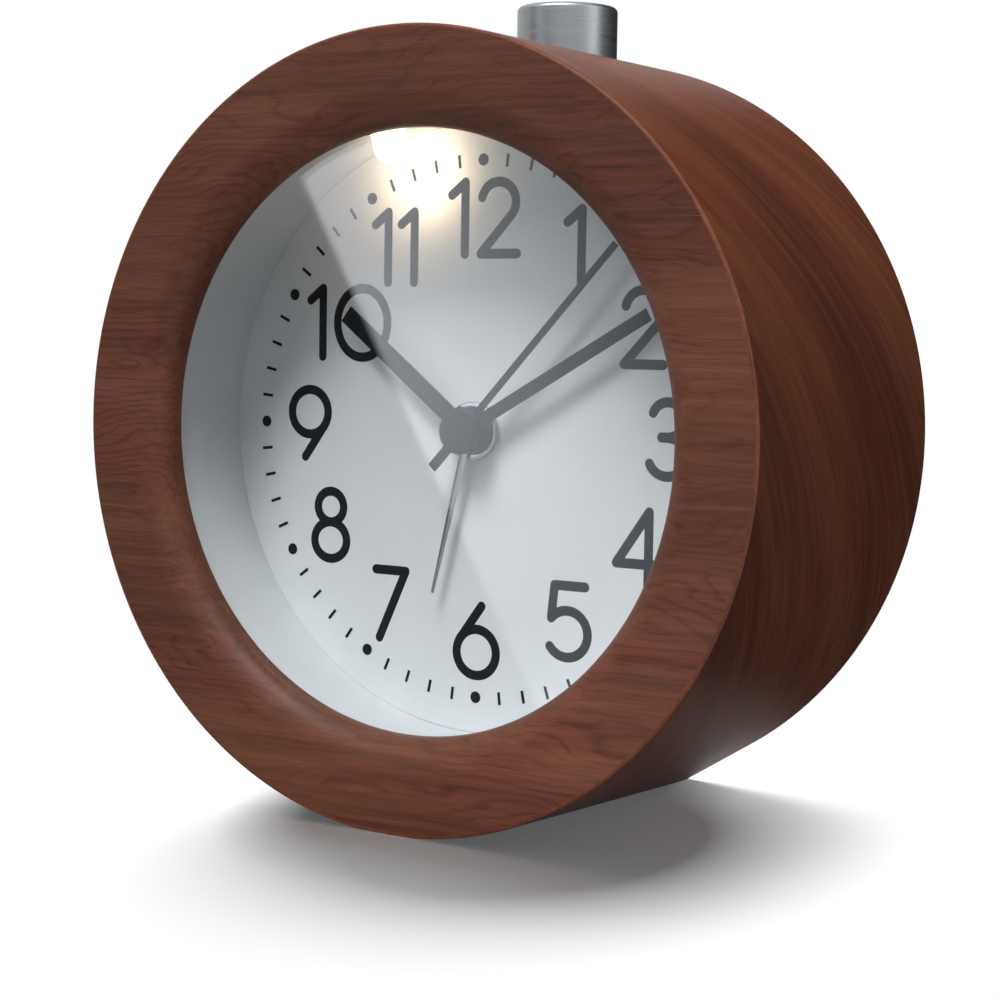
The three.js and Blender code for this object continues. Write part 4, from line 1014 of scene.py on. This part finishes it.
screwLook = {"ring": 48.1, "first": 45, "head": 1.55, "seat": 29.45, "top": 30.4, "shank": 0.85, "tip": 19.3,
             "point": 0.4, "pointLength": 1, "rim": 0.35, "shoulder": 0.72, "shoulderDrop": 0.12,
             "crown": 0.35, "slot": 0.34, "slotDeep": 0.55, "slotReach": 0.95, "spin": 1.7, "sides": 32}


def makeScrew(index):
    size = screwLook
    angle = math.radians(size["first"] + 90 * index)
    shift = Matrix.Translation((size["ring"] * math.cos(angle), 0, size["ring"] * math.sin(angle)))
    head, shank = size["head"], size["shank"]
    bm = turned([(0, size["tip"]), (shank * size["point"], size["tip"]),
                 (shank, size["tip"] + size["pointLength"]), (shank, size["seat"]),
                 (head, size["seat"]), (head, size["seat"] + size["rim"]),
                 (head * size["shoulder"], size["top"] - size["shoulderDrop"]),
                 (head * size["crown"], size["top"]), (0, size["top"])], size["sides"])
    shifted(bm, shift)
    cross = []
    for wide, high in ((size["slotReach"], size["slot"] / 2), (size["slot"] / 2, size["slotReach"])):
        arm = block((-wide, size["top"] - size["slotDeep"], -high),
                    (wide, size["top"] + rearLook["over"], high))
        cross.append((shifted(arm, shift @ Matrix.Rotation(angle * size["spin"], 4, "Y")), "DIFFERENCE"))
    newPiece(f"back_screw_{index + 1}", bm, [brightSteel], "case",
             [f"cover_screw_{index + 1}"], cutters=cross)


sliderLook = {"left": -27.5, "length": 3, "front": 25.5, "back": 30.3, "halfHigh": 1.2, "z": 14, "edge": 0.2,
              "grooves": 3, "grooveHalf": 0.15, "grooveDepth": 0.3}


def makeSlider():
    size = sliderLook
    low = (size["left"], size["front"], size["z"] - size["halfHigh"])
    high = (size["left"] + size["length"], size["back"], size["z"] + size["halfHigh"])
    bm = soften(block(low, high), size["edge"], segments=3)
    grooves = []
    half, over = size["grooveHalf"], rearLook["over"]
    for index in range(size["grooves"]):
        x = size["left"] + size["length"] * (index + 1) / (size["grooves"] + 1)
        groove = block((x - half, size["back"] - size["grooveDepth"], low[2] - over),
                       (x + half, size["back"] + over, high[2] + over))
        grooves.append((groove, "DIFFERENCE"))
    newPiece("alarm_switch_slider", bm, [sliderPlastic], "slider", ["alarm_slider"],
             cutters=grooves)


backPlastic = plasticMaterial("backPlastic", rearLook["colour"], rearLook["roughness"], tooth=0.35,
                              depth=0.05, mottle=0.05)
knobPlastic = plasticMaterial("knobPlastic", "26282a", roughness=0.38, tooth=0.2, depth=0.012, mottle=0.05)
sliderPlastic = plasticMaterial("sliderPlastic", "d5d7d6", roughness=0.4, tooth=0.2, depth=0.01, mottle=0.04)
makeRearCover()
makeDoor()
makeKnob("time_knob", rearLook["timeSet"], "time_setting", "time_set_knob")
makeKnob("alarm_knob", rearLook["alarmSet"], "alarm_setting", "alarm_set_knob")
for number in range(4):
    makeScrew(number)
makeSlider()
print("back made")

# Materials of the carried-over parts inside
insideLook = {
    "housingPlastic": plasticMaterial("housingPlastic", "1e2022", roughness=0.45, tooth=0.3, depth=0.02),
    "plateWhite": plasticMaterial("plateWhite", "d8dad8", roughness=0.42, tooth=0.3, depth=0.01),
    "gearAcetal": plasticMaterial("gearAcetal", "d8d3c2", roughness=0.4, tooth=0.25, depth=0.008,
                                  mottle=0.05),
    "pinionBrass": metalMaterial("pinionBrass", "c2a25a", roughness=0.28),
    "coilCopper": metalMaterial("coilCopper", "b8693c", roughness=0.34, scratch=0.5, along=(1, 1, 0.6)),
    "statorSteel": metalMaterial("statorSteel", "b4b6b8", roughness=0.36, scratch=0.2),
    "cellJacket": plasticMaterial("cellJacket", "b39347", roughness=0.3, tooth=0.15, depth=0.002, mottle=0.03,
                                  Metallic=0.6),
    "boardMask": plasticMaterial("boardMask", "2a6a44", roughness=0.38, tooth=0.4, depth=0.01, mottle=0.15),
    "switchPlastic": plasticMaterial("switchPlastic", "232527", roughness=0.5, tooth=0.2, depth=0.01),
}
insideNodes = {
    "housingPlastic": ["movement_front", "movement_back", "buzzer", "button_bush"],
    "plateWhite": ["middle_plate", "button_plunger"],
    "gearAcetal": ["second_wheel", "third_wheel", "centre_wheel", "intermediate_wheel", "rotor",
                   "motion_wheel", "hour_wheel", "alarm_wheel", "time_set_arbor", "alarm_set_arbor"],
    "pinionBrass": ["cannon_pinion"],
    "coilCopper": ["coil"],
    "statorSteel": ["stator", "contact_plate", "contact_spring", "slide_switch", "crystal_can", "button_clip",
                    "button_spring"],
    "cellJacket": ["battery"],
    "boardMask": ["circuit_board"],
    "switchPlastic": ["push_switch"],
}
for look, names in insideNodes.items():
    for name in names:
        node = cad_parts[name]
        node.data.materials.clear()
        node.data.materials.append(insideLook[look])
print("inside finished")

# Floor, light and the card that the lens mirrors
studio = {
    "floorHalf": 4.0, "floorColour": "f1f3f7", "paperGrain": 900.0, "glow": 0.09, "bounce": 0.5,
    "nearRadius": 0.03, "nearFade": 0.03, "worldGlow": 0.085,
    "shadowMiddle": (0.018, -0.018, 0), "shadowShape": (1, 0.75, 1), "paperNear": 0.022, "paperFar": 0.047,
    "footReach": (0.022, 0.034), "footFade": 1.5,
    "overhead": {"place": (-0.12, 0.23, 0.66), "size": 0.4, "power": 6.4, "target": (0, 0, 0)},
    "topLight": {"place": (0, -0.3, 0.62), "size": 0.26, "power": 4.9, "target": (0, 0, 0.05)},
    "leftLight": {"place": (-0.2, -0.57, 0.56), "size": 0.26, "power": 1.2, "target": (0, 0, 0.05)},
    "rightLight": {"place": (0.35, -0.45, 0.55), "size": 0.26, "power": 0.55, "target": (0, 0, 0.05)},
    "barrelLight": {"place": (0.55, 0.12, 0.3), "size": 0.3, "power": 0.85, "target": (0, 0, 0.05)},
    "lowLight": {"place": (0.02, -0.115, 0.005), "size": 0.05, "power": 0.135, "target": (0, 0, 0.02)},
    "backLight": {"place": (-0.3, 0.6, 0.45), "size": 0.3, "power": 1.6, "target": (0, 0, 0.05)},
    "lampPower": 0.008, "lampColour": "ffdcb4", "lampDepth": -7.6, "lampReach": 37.3,
    "lampTarget": (-10, 0, 36.5), "lampCone": 160, "lampSoft": 0.0008,
    "flag": {"place": (0.22, 0.38, 0.08), "width": 0.9, "height": 1.1, "weave": 200.0,
             "tints": ("050505", "0a0a0a")},
}


def whiteGlow(tree, strength):
    return addNode(tree, "Emission", None, Color=tone("ffffff"), Strength=strength).outputs[0]


def seenBy(tree, rays):
    # rays that come from the camera, from polished pieces or through the lens
    bent = calc(tree, "MAXIMUM", rays["Is Glossy Ray"], rays["Is Transmission Ray"])
    return calc(tree, "MAXIMUM", rays["Is Camera Ray"], bent)


def floorMaterial():
    # a white floor that keeps the clock's shadow near it and is plain white further out, and which polished
    # pieces see past from a few centimetres away
    material, tree, shader = newMaterial("paperFloor")
    tree.nodes.remove(shader)
    where = addNode(tree, "TexCoord").outputs["Object"]
    grain = noise(tree, where, studio["paperGrain"], detail=2.0)
    paper = mixColour(tree, grain, tone(studio["floorColour"]), tone("ffffff"))
    rays = addNode(tree, "LightPath").outputs
    thrown = remap(tree, rays["Is Diffuse Ray"], 0, 1, 1.0, studio["bounce"])
    paper = tinted(tree, paper, thrown)
    matte = addNode(tree, "BsdfDiffuse", None, Color=paper).outputs[0]
    seen = seenBy(tree, rays)
    glow = whiteGlow(tree, times(tree, seen, studio["glow"]))
    lit = addNode(tree, "AddShader", None, i0=matte, i1=glow).outputs[0]
    away = lengthOf(tree, where)
    offset = addNode(tree, "VectorMath", {"operation": "SUBTRACT"}, i0=where,
                     i1=studio["shadowMiddle"]).outputs[0]
    offset = stretch(tree, offset, studio["shadowShape"])
    fromShadow = lengthOf(tree, offset)
    reach = studio["footReach"]
    fromFoot = lengthOf(tree, stretch(tree, where, (1 / reach[0], 1 / reach[1], 1)))
    white = whiteGlow(tree, 1.0)
    far = times(tree, remap(tree, fromShadow, studio["paperNear"], studio["paperFar"]), seen)
    far = times(tree, far, remap(tree, fromFoot, 1.0, studio["footFade"]))
    lit = addNode(tree, "MixShader", None, i0=far, i1=lit, i2=white).outputs[0]
    near = studio["nearRadius"]
    beyond = times(tree, remap(tree, away, near, near + studio["nearFade"]), rays["Is Glossy Ray"])
    clear = addNode(tree, "BsdfTransparent").outputs[0]
    mixed = addNode(tree, "MixShader", None, i0=beyond, i1=lit, i2=clear).outputs[0]
    tree.links.new(mixed, tree.nodes["Material Output"].inputs["Surface"])
    return material


def stageMesh(name, bm, material):
    piece = linkedObject(name, meshFrom(name, bm))
    piece.data.materials.append(material)
    return piece


def makeFloor():
    bm = bmesh.new()
    bmesh.ops.create_grid(bm, x_segments=1, y_segments=1, size=studio["floorHalf"])
    return stageMesh("floor", bm, floorMaterial())


card = {
    "left": -350, "right": 1350, "top": -350, "bottom": 1350, "distance": 1000, "pixels": 2206.5,
    "edgeTop": (299, 172), "edgeBottom": (537, 710), "dark": 0.03, "bright": 3.4, "softness": 4,
    "fadeAcross": 290, "farShare": 0.15, "fadeTop": 400, "fadeBottom": 620, "lowShare": 0.32,
    "middle": 500, "colour": "f2f7ff",
}


def makeCard():
    # a studio card that only reflections see: dark, with a bright soft-edged half
    size = card
    mirror = Matrix.Diagonal((1, -1, 1)).to_3x3()
    eye = Vector(photoView["place"])
    eye.y = 2 * lensLook["front"] - eye.y
    right = mirror @ Vector(photoView["right"])
    up = mirror @ Vector(photoView["up"])
    forward = mirror @ -Vector(photoView["back"])
    perPixel = size["distance"] / size["pixels"]
    axes = Matrix((right, up, -forward)).transposed().to_4x4()
    bm = bmesh.new()
    bmesh.ops.create_grid(bm, x_segments=1, y_segments=1, size=0.5)
    wide = (size["right"] - size["left"]) * perPixel
    high = (size["bottom"] - size["top"]) * perPixel
    bmesh.ops.scale(bm, verts=bm.verts, vec=(wide, high, 1))
    middle = ((size["left"] + size["right"]) / 2 - size["middle"],
              size["middle"] - (size["top"] + size["bottom"]) / 2)
    shift = (middle[0] * perPixel, middle[1] * perPixel, -size["distance"])
    bmesh.ops.translate(bm, verts=bm.verts, vec=shift)
    layer = bm.loops.layers.uv.new("card")
    for face in bm.faces:
        for corner in face.loops:
            place = corner.vert.co / perPixel
            corner[layer].uv = (place.x + size["middle"], size["middle"] - place.y)
    shifted(bm, toFrame @ Matrix.Translation(eye) @ axes)
    material, tree, shader = newMaterial("mirrorCard")
    tree.nodes.remove(shader)
    spot = apart(tree, addNode(tree, "UVMap", {"uv_map": "card"}).outputs[0])
    run = Vector(size["edgeBottom"]) - Vector(size["edgeTop"])
    side = Vector((run.y, -run.x)).normalized()
    reach = plus(tree, times(tree, spot[0], side.x), times(tree, spot[1], side.y))
    start = side.dot(Vector(size["edgeTop"]))
    veil = remap(tree, reach, start - size["softness"], start + size["softness"])
    across = remap(tree, reach, start, start + size["fadeAcross"], 1.0, size["farShare"])
    down = remap(tree, spot[1], size["fadeTop"], size["fadeBottom"], 1.0, size["lowShare"])
    fade = times(tree, across, down)
    strength = plus(tree, times(tree, times(tree, veil, fade), size["bright"]), size["dark"])
    glow = addNode(tree, "Emission", None, Color=tone(size["colour"]), Strength=strength).outputs[0]
    tree.links.new(glow, tree.nodes["Material Output"].inputs["Surface"])
    piece = stageMesh("mirror_card", bm, material)
    onlyMirrored(piece)
    piece.visible_transmission = True   # the lens's back face mirrors it too


def onlyMirrored(piece):
    for rays in ("camera", "diffuse", "transmission", "volume_scatter", "shadow"):
        setattr(piece, "visible_" + rays, False)


def makeFlag():
    # a dark cloth behind on the right, which only polished pieces mirror
    size = studio["flag"]
    bm = bmesh.new()
    bmesh.ops.create_grid(bm, x_segments=1, y_segments=1, size=0.5)
    bmesh.ops.scale(bm, verts=bm.verts, vec=(size["width"], size["height"], 1))
    place = Vector(size["place"])
    facing = (Vector((0, 0, place.z)) - place).to_track_quat("Z", "Y").to_matrix().to_4x4()
    shifted(bm, Matrix.Translation(place) @ facing)
    material, tree, shader = newMaterial("darkCloth", Roughness=1.0)
    where = addNode(tree, "TexCoord").outputs["Object"]
    weave = noise(tree, where, size["weave"], detail=2.0)
    feed(tree, shader, Base_Color=mixColour(tree, weave, *map(tone, size["tints"])))
    onlyMirrored(stageMesh("dark_flag", bm, material))


def aimed(light, place, target):
    turn = (target - place).to_track_quat("-Z", "Y").to_matrix().to_4x4()
    light.matrix_world = Matrix.Translation(place) @ turn
    return light


def makeSoftbox(name):
    size = studio[name]
    data = bpy.data.lights.new(name, "AREA")
    data.energy = size["power"]
    data.size = size["size"]
    return aimed(linkedObject(name, data), Vector(size["place"]), Vector(size["target"]))


def linkLight(light, piece, state):
    # the light falls on this piece only, or on everything but it
    linked = bpy.data.collections.new(light.name + "Linked")
    linked.objects.link(piece)
    light.light_linking.receiver_collection = linked
    linked.collection_objects[0].light_linking.link_state = state


def makeWorld():
    # white to the camera, to polished pieces and through the lens, and a softer light on everything else
    world = bpy.data.worlds.new("studio")
    bpy.context.scene.world = world
    world.use_nodes = True
    tree = world.node_tree
    rays = addNode(tree, "LightPath").outputs
    seen = seenBy(tree, rays)
    background = tree.nodes["Background"]
    background.inputs["Color"].default_value = tone("ffffff")
    tree.links.new(remap(tree, seen, 0, 1, studio["worldGlow"], 1.0), background.inputs["Strength"])


def makeLampLight():
    data = bpy.data.lights.new("lampLight", "SPOT")
    data.energy = studio["lampPower"]
    data.color = tone(studio["lampColour"])[:3]
    data.shadow_soft_size = studio["lampSoft"]
    data.spot_size = math.radians(studio["lampCone"])
    data.spot_blend = 1.0
    turn = Matrix.Rotation(math.radians(lampLook["angle"]), 4, "Y")
    place = toFrame @ turn @ Vector((0, studio["lampDepth"], studio["lampReach"]))
    light = aimed(linkedObject("lampLight", data), place, toFrame @ Vector(studio["lampTarget"]))
    for rays in ("camera", "glossy", "transmission"):
        setattr(light, "visible_" + rays, False)


paper = makeFloor()
makeCard()
makeFlag()
linkLight(makeSoftbox("overhead"), paper, "INCLUDE")
for box in ("topLight", "leftLight", "rightLight", "barrelLight"):
    linkLight(makeSoftbox(box), paper, "EXCLUDE")
# a low light in front for the wooden case, and one behind, both without a sheen
for box, piece, state in (("lowLight", turnedCase, "INCLUDE"), ("backLight", paper, "EXCLUDE")):
    light = makeSoftbox(box)
    light.visible_glossy = False
    linkLight(light, piece, state)
makeWorld()
makeLampLight()
bpy.context.scene.view_settings.view_transform = "Standard"
print("studio lit")
